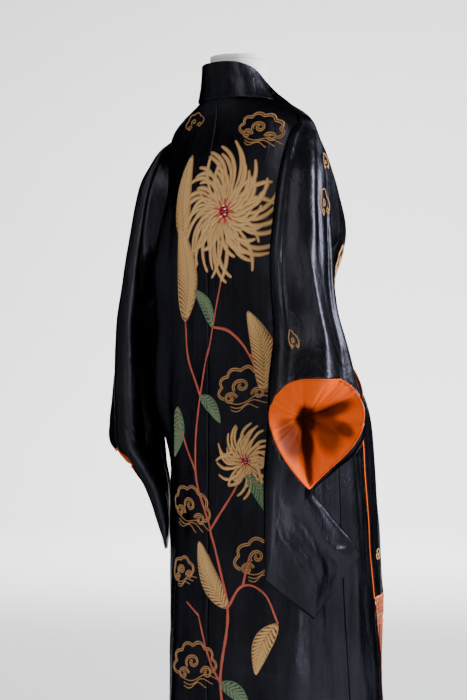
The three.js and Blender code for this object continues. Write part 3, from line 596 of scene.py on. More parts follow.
def plain(name, dark, light, scale, rough, depth, **constants):
    """A plain finish with fine grain and slow changes of tone."""
    material, tree, shader = new_material(name, **constants)
    place = place_of(tree)
    tone = noise(tree, place, scale * 0.02, 4.0)
    grain = noise(tree, place, scale, 2.0)
    tree.links.new(ramp(tree, tone, (0.35, dark), (0.7, light)), shader.inputs["Base Color"])
    tree.links.new(spread(tree, tone, 0.3, 0.7, rough, rough + 0.1), shader.inputs["Roughness"])
    bumped(tree, shader, grain, depth)
    return material


def make_materials():
    GROUPS.update(threads=satin_threads_group(), crinkles=crinkles_group(),
                  laid=laid_thread_group())
    cloth = bpy.context.scene.robe_cloth
    black, orange = np.array(cloth.silk_colour), np.array(cloth.lining_colour)
    MATERIALS.update(
        # The colour after the crinkle size is each satin's painted shade colour for deep folds
        black=satin("black_satin", black * 0.7, black * 1.5, (0.29, 0.41), 0.0025, black * 0.5,
                    metallic=1.0, specular_tint=(0.2, 0.2, 0.22, 1)),
        orange=satin("orange_silk", orange * 0.85, orange * 1.07, (0.5, 0.6), 0.0008,
                     (0.035, 0.004, 0.0), specular_ior_level=0.06),
        jersey=plain("form_jersey", (0.66, 0.65, 0.62), (0.74, 0.73, 0.7), 900, 0.8, 0.00008),
        cap=plain("painted_cap", (0.6, 0.59, 0.55), (0.7, 0.68, 0.63), 300, 0.5, 0.00004),
        steel=plain("painted_steel", (0.28, 0.28, 0.29), (0.34, 0.34, 0.35), 600, 0.35, 0.00003,
                    metallic=0.6),
        gold_cord=sewn("gold_cord", (0.2, 0.085, 0.025), (0.62, 0.33, 0.12), 1.6, 0.5, 0.42,
                       0.0003, metallic=0.35),
        gold_fill=sewn("gold_fill", (0.36, 0.19, 0.06), (0.78, 0.5, 0.2), 1.1, 0.15, 0.42,
                       0.00035, metallic=0.3),
        rust=sewn("rust_thread", (0.22, 0.03, 0.014), (0.52, 0.09, 0.045), 1.2, 0.4, 0.5, 0.0002),
        red=sewn("red_thread", (0.34, 0.005, 0.01), (0.68, 0.012, 0.03), 0.9, 0.1, 0.45, 0.0002),
        # Dark sheets under the padded leaves: painted shade that shows in the gaps between their
        # rows
        gold_ground=sewn("gold_ground", (0.06, 0.028, 0.01), (0.16, 0.08, 0.03), 1.2, 0.2, 0.6,
                         0.0001),
        green_dark=sewn("green_painted_shade", (0.012, 0.03, 0.014), (0.03, 0.06, 0.03), 0.9, 0.1, 0.6,
                        0.0001),
        green=sewn("green_thread", (0.045, 0.09, 0.04), (0.14, 0.24, 0.12), 0.9, 0.1, 0.5, 0.0002),
        ivory=sewn("ivory_thread", (0.5, 0.46, 0.4), (0.8, 0.77, 0.72), 0.9, 0.1, 0.5, 0.0002),
        fringe=sewn("fringe_orange", (0.24, 0.036, 0.002), (0.74, 0.125, 0.004), 2.4, 0.6, 0.5,
                    0.0001),
        fringe_dark=sewn("fringe_brown", (0.012, 0.007, 0.005), (0.06, 0.03, 0.02), 2.4, 0.6, 0.5,
                         0.0001),
    )


# ------------------------------------------------------------------ body panels
BACK_COLUMNS = 64
FRONT_COLUMNS = 84


def panel_grid(start, end, columns, rows=250, lift=None):
    """Points of a panel between two edges; its seams are drawn in a little."""
    z = np.linspace(HEM_Z, PANEL_TOP_Z, rows)[:, None]
    first = start(z) + degrees_for(SEAM / 2, start(z), z)
    last = end(z) - degrees_for(SEAM / 2, end(z), z)
    near = np.array([0, 0.004, 0.009, 0.016])
    share = np.r_[near, np.linspace(0.026, 0.974, columns), 1 - near[::-1]]
    angle = mix(first, last, share)
    z = z + 0 * angle
    size = 1 / degrees_for(1.0, angle, z)
    from_edge = np.minimum(angle - first, last - angle) * size
    out = -0.3 * np.exp(-((from_edge / 2.4) ** 2)) + 0.5 * np.exp(-(((z - HEM_Z - 4) / 5) ** 2))
    out += -0.35 * np.exp(-(((z - HEM_Z - 32) / 3) ** 2))
    if lift:
        out = out + lift(angle, z)
    return body_at(angle, z, out)


def under_collar(z):
    """Degrees that a front's edge reaches on under the collar band."""
    return 16 * smooth(NECKLINE_Z - 50, NECKLINE_Z - 8, z)


def build_panels():
    silk = MATERIALS["black"], MATERIALS["orange"]
    armhole_back = lambda z: armhole(ARMHOLE_BACK_ANGLE, z)
    armhole_front = lambda z: armhole(ARMHOLE_FRONT_ANGLE, z)
    centre = lambda z: 0 * z + 90
    panels = (
        ("back_left", armhole_back, centre, BACK_COLUMNS, None, (0.265, 1.30)),
        ("back_right", centre, lambda z: 180 - armhole_back(z), BACK_COLUMNS, None,
         (0.255, 1.30)),
        ("front_right", lambda z: 180 + armhole_front(z),
         lambda z: front_edge_right(z) + under_collar(z), FRONT_COLUMNS, None, (0.375, 1.30)),
        ("front_left", lambda z: front_edge_left(z) - under_collar(z),
         lambda z: 360 - armhole_front(z), FRONT_COLUMNS, over_lift, (0.375, 1.30)),
    )
    for name, start, end, columns, lift, flat in panels:
        grid = panel_grid(start, end, columns, lift=lift)
        piece = sheet_piece("robe_" + name, grid, WALL, silk)
        settle(piece, "black_silk", name)


# ------------------------------------------------------------------ sleeves
def sleeve_frame(rows, side, z):
    """A sleeve's levels at heights z: its middle, its directions and its sizes."""
    value = {key: column(rows, key, z) for key in SLEEVE_COLUMNS.split()[1:]}
    back = np.stack([value["backX"], value["backY"]], -1)
    front = np.stack([value["frontX"], value["frontY"]], -1)
    along = unit(front - back)
    outward = np.stack([-along[..., 1], along[..., 0]], -1)
    outward = outward * np.sign(outward[..., :1] * side)
    value.update(centre=(back + front) / 2, along=along, outward=outward,
                 half=np.linalg.norm(front - back, axis=-1) / 2)
    value["flat"] = value["half"] - value["thick"]
    return value


def sleeve_place(level, x, y, z):
    """A place x across a sleeve and y out of its middle plane."""
    share = x / level["half"]
    rise = np.where(share < 0, -share * level["dropBack"], share * level["dropFront"])
    flat = level["centre"] + level["along"] * x[..., None] + level["outward"] * y[..., None]
    return np.concatenate([flat, (z + rise)[..., None]], -1)


def sleeve_face(rows, side, creases, x, z, out=0.0):
    """A place on a sleeve's outer face: across from its middle, and height."""
    x, z = np.broadcast_arrays(np.asarray(x, float), np.asarray(z, float))
    level = sleeve_frame(rows, side, z)
    across = np.clip(x / level["flat"], -1, 1)
    calm = (1 - across**2) ** 0.5 * smooth(rows[0]["z"], rows[0]["z"] - 30, z)
    crease = crease_height(creases, x, z) + 1.2 * ripple_height(x, z)
    y = level["thick"] + level["bulge"] * (1 - across**2) ** 2 + crease * calm + out
    return sleeve_place(level, x, y, z)


SLEEVE_WEB = 16
SLEEVE_TURN = 8


def sleeve_grid(rows, side, creases, levels=190, face=66):
    """A sleeve's cloth, from the seam on the body's side all round, top row first."""
    z = np.linspace(rows[0]["z"], rows[-1]["z"], levels)
    level = sleeve_frame(rows, side, z)
    thick, flat = level["thick"], level["flat"]
    near_body = smooth(ARMHOLE_LOW_Z - 90, ARMHOLE_LOW_Z, z)

    def web_columns(direction):
        height = np.minimum(z, ARMHOLE_TOP_Z - 3)
        side_angle = 180 if side < 0 else 0
        turning = direction if side < 0 else -direction
        widest = ARMHOLE_BACK_ANGLE if direction < 0 else ARMHOLE_FRONT_ANGLE
        opening = armhole(widest, height)
        opening = opening - degrees_for(0.6, side_angle + turning * opening, height)
        angle = side_angle + turning * np.maximum(opening, degrees_for(0.4, side_angle, height))
        on_body = body_at(angle, height, 0.95)
        on_body[:, 2] = z
        free = sleeve_place(level, direction * 0.3 + 0 * z, -thick - level["sag"], z)
        end = mix(free, on_body, near_body[:, None])
        fold = sleeve_place(level, direction * flat, -thick, z)
        bow = (1 - near_body) * level["sag"]
        for k in range(SLEEVE_WEB):
            s = k / SLEEVE_WEB
            point = mix(end, fold, s)
            push = bow * math.sin(math.pi * s) + 0.5 * ripple_height(90 * s * direction, z) * (
                math.sin(math.pi * s) * (1 - near_body))
            point[:, :2] -= level["outward"] * push[:, None]
            yield point

    def turn_columns(direction):
        for k in range(SLEEVE_TURN):
            angle = math.pi * k / SLEEVE_TURN
            yield sleeve_place(level, direction * (flat + thick * math.sin(angle)),
                               -thick * math.cos(angle), z)

    faces = [sleeve_face(rows, side, creases, mix(-flat, flat, k / face), z)
             for k in range(face + 1)]
    columns = [*web_columns(-1), *turn_columns(-1), *faces,
               *list(turn_columns(1))[::-1], *list(web_columns(1))[::-1]]
    grid = np.stack(columns, 1)
    return close_ends(grid, level, side)


SHOULDER_Z = 1399
SHOULDER_REACH = 152
SHOULDER_SLOPE = 0.6


def close_ends(grid, level, side):
    """Lays the top over the shoulder's end and draws the bottom in to its seam."""
    shoulder = 180 if side < 0 else 0
    slope = SHOULDER_SLOPE * np.maximum(side * grid[..., 0] - SHOULDER_REACH, 0)
    grid = grid.copy()
    grid[..., 2] -= slope * smooth(ARMHOLE_TOP_Z - 110, ARMHOLE_TOP_Z, grid[..., 2])
    first = grid[0]
    middle_y = body_at(shoulder, SHOULDER_Z)[1]
    turning = side * (first[:, 1] - middle_y) * 0.8 * degrees_for(1.0, shoulder, SHOULDER_Z)
    outer = np.interp(np.arange(len(first)), np.array([0, SLEEVE_WEB, SLEEVE_WEB + SLEEVE_TURN]),
                      [0, 0, 1])
    outer = np.minimum(outer, outer[::-1])
    rest_z = mix(ARMHOLE_TOP_Z + 1.5, SHOULDER_Z, outer)
    resting = body_at(shoulder + turning, rest_z, 0.9)
    above = np.stack([mix(first[:, 0], resting[:, 0], 0.3), mix(first[:, 1], resting[:, 1], 0.3),
                      np.maximum(first[:, 2], rest_z - 2)], -1)
    s = np.linspace(0, 1, 9)[1:, None, None]
    over = (1 - s) ** 2 * first + 2 * s * (1 - s) * above + s**2 * resting
    outward = np.append(level["outward"][-1], 0)
    last = grid[-1]
    y = (last - np.append(level["centre"][-1], 0)) @ outward
    under = []
    for turn in (0.35, 0.7, 1.05, 1.4):
        point = last - outward * (y * (1 - math.cos(turn)))[:, None]
        point[:, 2] -= 1.4 * math.sin(turn)
        under.append(point)
    return np.concatenate([over[::-1], grid, np.stack(under)])


def mouth_frame(mouth):
    """A mouth's middle and its directions across, up and out of the sleeve."""
    facing = unit(np.array(mouth["facing"], float))
    across = unit(np.cross((0, 0, 1), facing))
    return np.array(mouth["at"], float), across, np.cross(facing, across), facing


def mouth_outline(mouth, count=720):
    """The drop-shaped outline in the mouth's own plane, pointed end down."""
    turn = 2 * np.pi * (np.arange(count) + 0.5) / count
    x = mouth["width"] / 2 * np.sin(turn) * np.sin(turn / 2) / DROP_WIDEST
    y = -mouth["height"] / 2 * np.cos(turn)
    x = x + mouth["lean"] * (1 - y / (mouth["height"] / 2)) / 2
    return np.stack([x, y], -1)


def outline_reach(mouth, bearing):
    """Distance from the outline's middle to its edge at each bearing."""
    line = mouth_outline(mouth)
    angle = np.arctan2(line[:, 1], line[:, 0])
    order = np.argsort(angle)
    return np.interp(bearing, angle[order], np.linalg.norm(line, axis=1)[order], period=2 * np.pi)


def cut_mouth(grid, mouth):
    """Faces of a sleeve's grid without its mouth, its points drawn to the outline, and the
    edge as bearings and points."""
    rows, cols = grid.shape[:2]
    points = grid.reshape(-1, 3).copy()
    at, across, up, facing = mouth_frame(mouth)
    p, q, h = (points - at) @ across, (points - at) @ up, (points - at) @ facing
    bearing = np.arctan2(q, p)
    share = np.hypot(p, q) / outline_reach(mouth, bearing)
    share[h < -mouth["depth"]] = 9
    faces = np.array(grid_faces(rows, cols))
    edges = np.concatenate([faces[:, [k, (k + 1) % 4]] for k in range(4)])
    crossing = edges[(share[edges[:, 0]] < 1) != (share[edges[:, 1]] < 1)]
    nearer = np.abs(share[crossing] - 1).argmin(1)
    on = np.unique(crossing[np.arange(len(crossing)), nearer])
    reach = outline_reach(mouth, bearing[on])
    points[on] += (np.outer(reach * np.cos(bearing[on]) - p[on], across)
                   + np.outer(reach * np.sin(bearing[on]) - q[on], up))
    state = np.where(share < 1, -1, 1)
    state[on] = 0
    kept = []
    for face in faces:
        marks = state[face]
        if (marks >= 0).all():
            kept.append(face.tolist())
        elif (marks > 0).any():
            for first in (0, 1):
                if marks[first] == 0 and marks[first + 2] == 0:
                    for third in (first + 1, (first + 3) % 4):
                        if marks[third] > 0:
                            three = sorted({first, first + 2, third})
                            kept.append(face[three].tolist())
    order = on[np.argsort(bearing[on])]
    return points, kept, np.arctan2(*(((points[order] - at) @ v) for v in (up, across))), order


# Folds of the lining inside a mouth: bearing from the hollow's middle in degrees, how
# steeply the cloth falls from the edge (high values stay near it) and its depth
RIGHT_FOLDS = table(
    "bearing fall deep",
    (-180, 1.3, 0.7), (-168, 1.0, 0.75), (-150, 0.75, 0.72), (-124, 0.9, 0.62), (-104, 0.8, 0.8),
    (-96, 0.5, 1.0), (-88, 0.38, 1.0), (-80, 0.9, 0.8), (-70, 1.5, 0.6), (-46, 2.0, 0.6),
    (-34, 1.5, 0.7), (-22, 0.95, 0.9), (-6, 1.1, 0.85), (10, 1.25, 0.8), (26, 1.1, 0.8),
    (32, 1.9, 0.55), (62, 2.0, 0.5), (70, 1.4, 0.6), (76, 3.2, 0.5), (96, 3.2, 0.5),
    (103, 1.9, 0.55), (130, 3.0, 0.5), (156, 2.6, 0.5), (172, 1.8, 0.6),
)
LEFT_FOLDS = table(
    "bearing fall deep",
    (-170, 1.0, 0.8), (-110, 1.5, 0.7), (-80, 0.7, 1.0), (-40, 1.4, 0.7), (10, 0.8, 0.9),
    (60, 1.5, 0.7), (110, 0.8, 0.9), (150, 1.6, 0.7), (189, 1.0, 0.8),
)
# Painted shade on the lining between its folds: middle of each shaded place in the mouth's own
# plane, half its width and height, its turn in degrees, and how strongly the shade is painted
RIGHT_PAINTED_SHADE = table(
    "p q wide high turn deep",
    (-15, 20, 21, 30, 12, 1.3), (-12, -24, 13, 38, 4, 1.15), (-8, -62, 7, 38, 4, 0.95),
    (-44, -10, 24, 42, 26, 0.85), (28, 37, 38, 13, 24, 0.88), (20, 2, 24, 44, 6, 0.74),
    (46, 6, 18, 13, -38, 0.84),
)
LEFT_PAINTED_SHADE = table("p q wide high turn deep", (0, 6, 34, 26, 0, 1.2))


def painted_shade_share(places, p, q):
    """How much painted shade a place of the lining gets, from 0 at the edge to 1 in the hollow."""
    open_share = np.ones(p.shape)
    for row in places:
        turn = math.radians(row["turn"])
        along, up = p - row["p"], q - row["q"]
        u = (along * math.cos(turn) + up * math.sin(turn)) / row["wide"]
        v = (up * math.cos(turn) - along * math.sin(turn)) / row["high"]
        open_share *= 1 - np.minimum(row["deep"] * (1 - smooth(0.5, 1.15, np.hypot(u, v))), 1)
    return 1 - open_share


def edge_at(bearing, edge_bearing, edge_points):
    """The mouth's edge at any bearing, between its own points."""
    return np.stack([np.interp(bearing, edge_bearing, edge_points[:, k], period=2 * np.pi)
                     for k in range(3)], -1)


def mouth_lining(mouth, edge_bearing, edge_points, folds, places, deep, hollow):
    """The lining in a mouth: from its edge in folds down to a hollow, with painted shade for its
    folds and hollow.
    """
    at, across, up, facing = mouth_frame(mouth)
    spokes, rings = 168, 34
    bearing = np.linspace(-np.pi, np.pi, spokes, endpoint=False)
    edge = edge_at(bearing, edge_bearing, edge_points)
    edge_p, edge_q, edge_h = ((edge - at) @ v for v in (across, up, facing))
    hole_p, hole_q = hollow
    out_angle = np.degrees(np.arctan2(edge_q - hole_q, edge_p - hole_p))
    folds = sorted(folds, key=lambda row: row["bearing"])
    angles = [row["bearing"] for row in folds]
    fall = np.interp(out_angle, angles, [row["fall"] for row in folds], period=360)
    depth = np.interp(out_angle, angles, [row["deep"] for row in folds], period=360)
    share = np.linspace(0, 1, rings)[:, None] ** 0.9
    inner = mix(1.0, 0.02, share)
    p, q = hole_p + (edge_p - hole_p) * inner, hole_q + (edge_q - hole_q) * inner
    ripple = 0.6 * np.sin(p / 9 + 1.3) * np.sin(q / 13) * np.sin(np.pi * share)
    sink = mix(depth, 1.0, smooth(0.55, 1.0, share)) * share**fall * deep
    h = mix(edge_h, edge_h.mean(), share) - 0.6 - sink + ripple
    grid = at + p[..., None] * across + q[..., None] * up + h[..., None] * facing
    # Painted shade: the listed places and the innermost rings of the lining are darkened
    shade = np.maximum(painted_shade_share(places, p, q), smooth(0.78, 0.9, share))
    return grid, shade * HOLLOW_SHADE


def rim_roll(name, line, radius, material, sides=8):
    """A rolled edge round a mouth."""
    count = len(line)
    ahead = unit(np.roll(line, -1, 0) - np.roll(line, 1, 0))
    middle = line.mean(0)
    outward = line - middle
    outward = unit(outward - ahead * (outward * ahead).sum(1, keepdims=True))
    third = np.cross(ahead, outward)
    turn = 2 * np.pi * np.arange(sides) / sides
    ring = (line[:, None] + radius * (np.cos(turn)[:, None] * outward[:, None]
                                      + np.sin(turn)[:, None] * third[:, None]))
    faces = grid_faces(count, sides, wrap=True)
    last = (count - 1) * sides
    faces += [[last + j, last + (j + 1) % sides, (j + 1) % sides, j] for j in range(sides)]
    piece = new_piece(name, ring, faces, material)
    fix_normals(piece)
    return piece


def fix_normals(piece):
    select_only(piece)
    bpy.ops.object.mode_set(mode="EDIT")
    bpy.ops.mesh.select_all(action="SELECT")
    bpy.ops.mesh.normals_make_consistent(inside=False)
    bpy.ops.object.mode_set(mode="OBJECT")


def join_pieces(*pieces):
    """Joins pieces into the first one."""
    select_only(*pieces[1:], pieces[0])
    bpy.ops.object.join()
    return pieces[0]


def build_sleeves():
    silk = MATERIALS["black"], MATERIALS["orange"]
    jobs = (
        ("right", RIGHT_SLEEVE, -1, RIGHT_SLEEVE_CREASES, RIGHT_MOUTH, RIGHT_FOLDS, RIGHT_PAINTED_SHADE,
         50, (-17, 20), (0.28, 0.84)),
        ("left", LEFT_SLEEVE, 1, LEFT_SLEEVE_CREASES, LEFT_MOUTH, LEFT_FOLDS, LEFT_PAINTED_SHADE,
         34, (0, 6), (0.3, 0.76)),
    )
    for name, rows, side, creases, mouth, folds, places, deep, hollow, flat in jobs:
        grid = sleeve_grid(rows, side, creases)
        points, faces, bearing, order = cut_mouth(grid, mouth)
        if side < 0:
            faces = [face[::-1] for face in faces]
        piece = new_piece(f"sleeve_{name}_silk", points, faces, *silk)
        give_wall(piece, SLEEVE_WALL, lined=True)
        settle(piece, "black_silk", f"sleeve_{name}")
        lining_grid, painted_fold_shade = mouth_lining(mouth, bearing, points[order], folds, places,
                                               deep, hollow)
        rings, spokes = lining_grid.shape[:2]
        lining = new_piece(f"sleeve_{name}_mouth", lining_grid,
                           grid_faces(rings, spokes, wrap=True), MATERIALS["orange"])
        apply_modifier(lining, "SOLIDIFY", thickness=LINING_WALL * MM, offset=1)
        # The painted shade goes on both faces of the lining as a point attribute
        both_faces = np.tile(painted_fold_shade.ravel(), 2)
        if len(lining.data.vertices) != len(both_faces):
            raise RuntimeError("The mouth lining's two faces no longer match its grid.")
        shade = lining.data.attributes.new("painted_fold_shade", "FLOAT", "POINT")
        shade.data.foreach_set("value", both_faces)
        steps = np.linspace(-np.pi, np.pi, MOUTH_STEPS, endpoint=False)
        edge = edge_at(steps, bearing, points[order])
        roll = rim_roll("roll", edge, MOUTH_ROLL, MATERIALS["orange"])
        join_pieces(lining, roll)
        settle(lining, "orange_silk", f"lining_{name}")


# ------------------------------------------------------------------ collar
def along_rows(rows, keys, steps):
    """Smooth line through the rows' points at even steps."""
    rows = [dict(row, z=i) for i, row in enumerate(rows)]
    s = np.linspace(0, len(rows) - 1, steps)
    return np.stack([column(rows, key, s) for key in keys], -1)


def band_grid(foot, top, across, crown):
    """A folded band from its foot line to its free edge, a little full in the middle."""
    s = np.linspace(0, 1, across)[:, None, None]
    grid = mix(foot[None], top[None], s)
    ahead = np.gradient(grid, axis=1)
    up = np.gradient(grid, axis=0)
    normal = unit(np.cross(ahead, up))
    along = np.linspace(0, 1, grid.shape[1])[None, :, None]
    crumple = np.sin(31 * along + 5 * s + 1) + 0.7 * np.sin(53 * along - 7 * s)
    crumple = crumple * np.sin(np.pi * s)
    return grid + normal * ((crown + 0.55 * crumple) * np.sin(np.pi * s)
                            - 0.5 * np.exp(-((s - 0.06) / 0.03) ** 2))


def round_sheet(name, grid, thickness, material, flip=False):
    """A thick folded strip with soft edges."""
    rows, cols = grid.shape[:2]
    piece = new_piece(name, grid, grid_faces(rows, cols, flip=flip), material)
    apply_modifier(piece, "SOLIDIFY", thickness=thickness * MM, offset=-1,
                   use_quality_normals=True)
    apply_modifier(piece, "BEVEL", width=0.8 * MM, segments=2, limit_method="ANGLE",
                   angle_limit=math.radians(50))
    piece.data.shade_smooth()
    return piece


def collar_front_lines(side, low, lift):
    """The collar's foot line and free edge down one front."""
    z = np.linspace(NECKLINE_Z, low, 70)
    edge = front_edge_left(z) if side > 0 else front_edge_right(z)
    inward = degrees_for(COLLAR_FRONT_WIDTH / 2, edge, z) * side
    rise = 2.4 + COLLAR_WALL + (lift(edge, z) if lift else 0)
    near_neck = smooth(NECKLINE_Z - 60, NECKLINE_Z - 20, z)
    foot = body_at(edge + inward * (0.5 + 0.4 * near_neck), z, rise - 2.2 * near_neck)
    free = body_at(edge - inward * 1.2, z, rise + 1)
    end = COLLAR_NECK[-2]
    foot_end = np.array([side * (end["footX"] - COLLAR_TUCK), end["footY"], end["footZ"]])
    free_end = np.array([side * (end["topX"] - COLLAR_TUCK), end["topY"], end["topZ"]])
    foot = mix(foot, foot_end, smooth(NECKLINE_Z - 22, NECKLINE_Z, z)[:, None])
    free = mix(free, free_end, smooth(NECKLINE_Z - 50, NECKLINE_Z, z)[:, None])
    return foot, free


def build_collar():
    silk = MATERIALS["black"]
    mirrored = [dict(row, footX=-row["footX"], topX=-row["topX"])
                for row in COLLAR_NECK[:0:-1]]
    rows = mirrored + COLLAR_NECK
    foot = along_rows(rows, ("footX", "footY", "footZ"), 110)
    top = along_rows(rows, ("topX", "topY", "topZ"), 110)
    share = np.linspace(0, 1, 110)
    for line, size in ((foot, 0.5), (top, 1.2)):
        line[:, 1] += size * np.sin(share * 23 + 1) * np.sin(np.pi * share)
        line[:, 2] += 0.5 * size * np.sin(share * 17)
    neck = round_sheet("collar_neck_band", band_grid(foot, top, 22, 1.6), COLLAR_WALL, silk,
                       flip=True)
    settle(neck, "black_silk", "collar_back")
    for name, side, low, lift, long in (("left", 1, COLLAR_FRONT_LOW_Z, over_lift, 0.47),
                                        ("right", -1, COLLAR_CROSSING_Z, None, 0.27)):
        foot, free = collar_front_lines(side, low, lift)
        grid = band_grid(foot, free, 18, 0.8 * side)
        piece = round_sheet(f"collar_{name}_front", grid, COLLAR_WALL, silk, flip=side > 0)
        settle(piece, "black_silk", f"collar_{name}")


# ------------------------------------------------------------------ sash and fringe
def knot_centre():
    z = (SASH_LOW_Z + SASH_HIGH_Z) / 2
    return body_at(KNOT_ANGLE, z, SASH_RISE + SASH_WALL + 0.8 + KNOT_SIZE[1])


def build_sash():
    silk = MATERIALS["black"]
    z = np.linspace(SASH_LOW_Z, SASH_HIGH_Z, 26)[:, None]
    angle = np.linspace(*SASH_ANGLES, 190)[None]
    share = (z - SASH_LOW_Z) / (SASH_HIGH_Z - SASH_LOW_Z)
    tuck = -0.9 * np.exp(-(((share - 0.34) / 0.05) ** 2)) - 0.9 * np.exp(
        -(((share - 0.68 + 0.02 * np.sin(angle / 7)) / 0.05) ** 2))
    pull = np.exp(-(((angle - KNOT_ANGLE) / 14) ** 2))
    grid = body_at(angle, z, SASH_RISE + SASH_WALL + tuck + 0.5 * np.sin(angle / 3) * pull)
    band = round_sheet("sash_belt", grid, SASH_WALL, silk)
    settle(band, "black_silk", "sash_band")
    build_knot()
    for end in SASH_ENDS:
        build_sash_end(end)


def build_knot():
    """Flat knot: a pleated wrap round a drawn-in pad."""
    across, deep, high = (size * MM for size in KNOT_SIZE)
    bpy.ops.object.select_all(action="DESELECT")
    bpy.ops.mesh.primitive_uv_sphere_add(segments=72, ring_count=44, radius=1)
    knot = bpy.context.object
    knot.name = "sash_tied_knot"
    for vertex in knot.data.vertices:
        x, y, z = vertex.co
        pinch = 1 - 0.16 * math.exp(-((x / 0.32) ** 2))
        pleat = 1 - 0.05 * abs(math.sin(7 * math.atan2(z, abs(x) + 0.25))) * min(1, 2 * abs(x))
        wrap = 0.13 * math.exp(-((x / 0.2) ** 4))
        vertex.co = (x * across * 0.98, y * deep * (pinch * pleat + wrap),
                     z * high * (pinch * pleat + wrap * 0.6))
    point = knot_centre()
    normal = unit(np.cross(body_point(KNOT_ANGLE + 0.4, point[2])
                           - body_point(KNOT_ANGLE - 0.4, point[2]), (0, 0, 1)))
    select_only(knot)
    turning = math.atan2(normal[1], normal[0]) - math.pi / 2
    knot.rotation_euler[2] = turning
    knot.location = Vector(point * MM)
    bpy.ops.object.transform_apply(location=True, rotation=True, scale=True)
    knot.data.shade_smooth()
    knot.data.materials.append(MATERIALS["black"])
    settle(knot, "black_silk", "sash_knot")


TAIL_SWING = 5
TAIL_TURN = 28
TAIL_STAND = 18


def tail_point(end, s, t, out):
    """A place on a hanging end: share of its length, share of its width from its middle."""
    top = end["top"]
    z = top - end["length"] * s
    gather = mix(0.5, 1.0, smooth(top, top - 90, z))
    start = KNOT_ANGLE + math.copysign(KNOT_SPREAD, end["angle"] - KNOT_ANGLE)
    hanging = smooth(top, top - 170, z)
    angle = mix(start, end["angle"] - TAIL_SWING, hanging)
    degrees = degrees_for(1.0, angle, z) * t * gather * end["width"]
    out = out + (TAIL_TURN * t + TAIL_STAND - end["stand"]) * hanging
    fold = (1.5 * np.sin(8.5 * t + 2 * s + 0.4) * mix(1.2, 0.5, s)
            + 0.8 * np.sin(19 * t - 3 * s) * (1 - s) ** 2)
    return body_at(angle + degrees, z + 0 * t, end["stand"] + out + fold)


def sash_end_grid(end, out, widen, levels=120, across=22):
    """A hanging end: gathered at the knot, then flat with soft long folds."""
    reach = 0.5 * (1 + widen / end["width"])
    return tail_point(end, np.linspace(0, 1, levels)[:, None],
                      np.linspace(-reach, reach, across)[None], out)


def build_sash_end(end):
    name = end["name"]
    grid = sash_end_grid(end, SASH_WALL, 0)
    piece = round_sheet(f"sash_tail_{name}", grid, SASH_WALL * 0.8, MATERIALS["black"], flip=True)
    settle(piece, "black_silk", f"sash_end_{name}")
    lining_grid = sash_end_grid(end, 0.1, 9)
    lining = round_sheet(f"sash_tail_{name}_lining", lining_grid, 1.0, MATERIALS["orange"],
                         flip=True)
    settle(lining, "orange_silk", f"sash_lining_{name}")
    fringe = build_fringe(end)


def length_along(line):
    """Length from a line's start to each of its points."""
    return np.r_[0, np.cumsum(np.linalg.norm(np.diff(line, axis=0), axis=1))]


def sewing_size(name):
    """One of the sidebar's sewing sizes, in millimetres."""
    return round(getattr(bpy.context.scene.robe_sewing, name) / MM, 4)


def strand_tube(line, radius, sides=4):
    """Points of a strand's tube along a line."""
    ahead = unit(np.gradient(line, axis=0))
    side = unit(np.cross(ahead, (0.3, 0.9, 0.2)))
    third = np.cross(ahead, side)
    turn = 2 * np.pi * np.arange(sides) / sides
    return (line[:, None] + radius * (np.cos(turn)[:, None] * side[:, None]
                                      + np.sin(turn)[:, None] * third[:, None]))


def tubes_piece(name, rings, uvs, material):
    """One mesh of many closed tubes, with their own UV map."""
    faces, base = [], 0
    for ring in rings:
        count, sides = ring.shape[:2]
        faces += (np.array(grid_faces(count, sides, wrap=True)) + base).tolist()
        faces.append([base + v for v in range(sides)][::-1])
        faces.append([base + (count - 1) * sides + v for v in range(sides)])
        base += count * sides
    points = np.concatenate([ring.reshape(-1, 3) for ring in rings])
    piece = new_piece(name, points, faces, material)
    layer = piece.data.uv_layers.new(name="uv")
    index = np.zeros(len(piece.data.loops), int)
    piece.data.loops.foreach_get("vertex_index", index)
    uv = np.concatenate([place.reshape(-1, 2) for place in uvs])
    layer.data.foreach_set("uv", uv[index].ravel())
    fix_normals(piece)
    return piece


def strands_piece(name, lines, radius, material, sides=4):
    """One mesh of many strands, each with its length and turn as UV."""
    rings, uvs = [], []
    turn = np.arange(sides) / sides
    for line in lines:
        length = length_along(line)
        rings.append(strand_tube(line, radius, sides))
        uvs.append(np.stack(np.broadcast_arrays(length[:, None], turn), -1))
    return tubes_piece(name, rings, uvs, material)


FRINGE_STRANDS = 26
LOOSE_STRANDS = 36
FRINGE_LENGTH = 150
NET_HEIGHT = 46
STRAND_RADIUS = 0.55
HEADING_RADIUS = 0.9
DARK_SHARE = 0.42


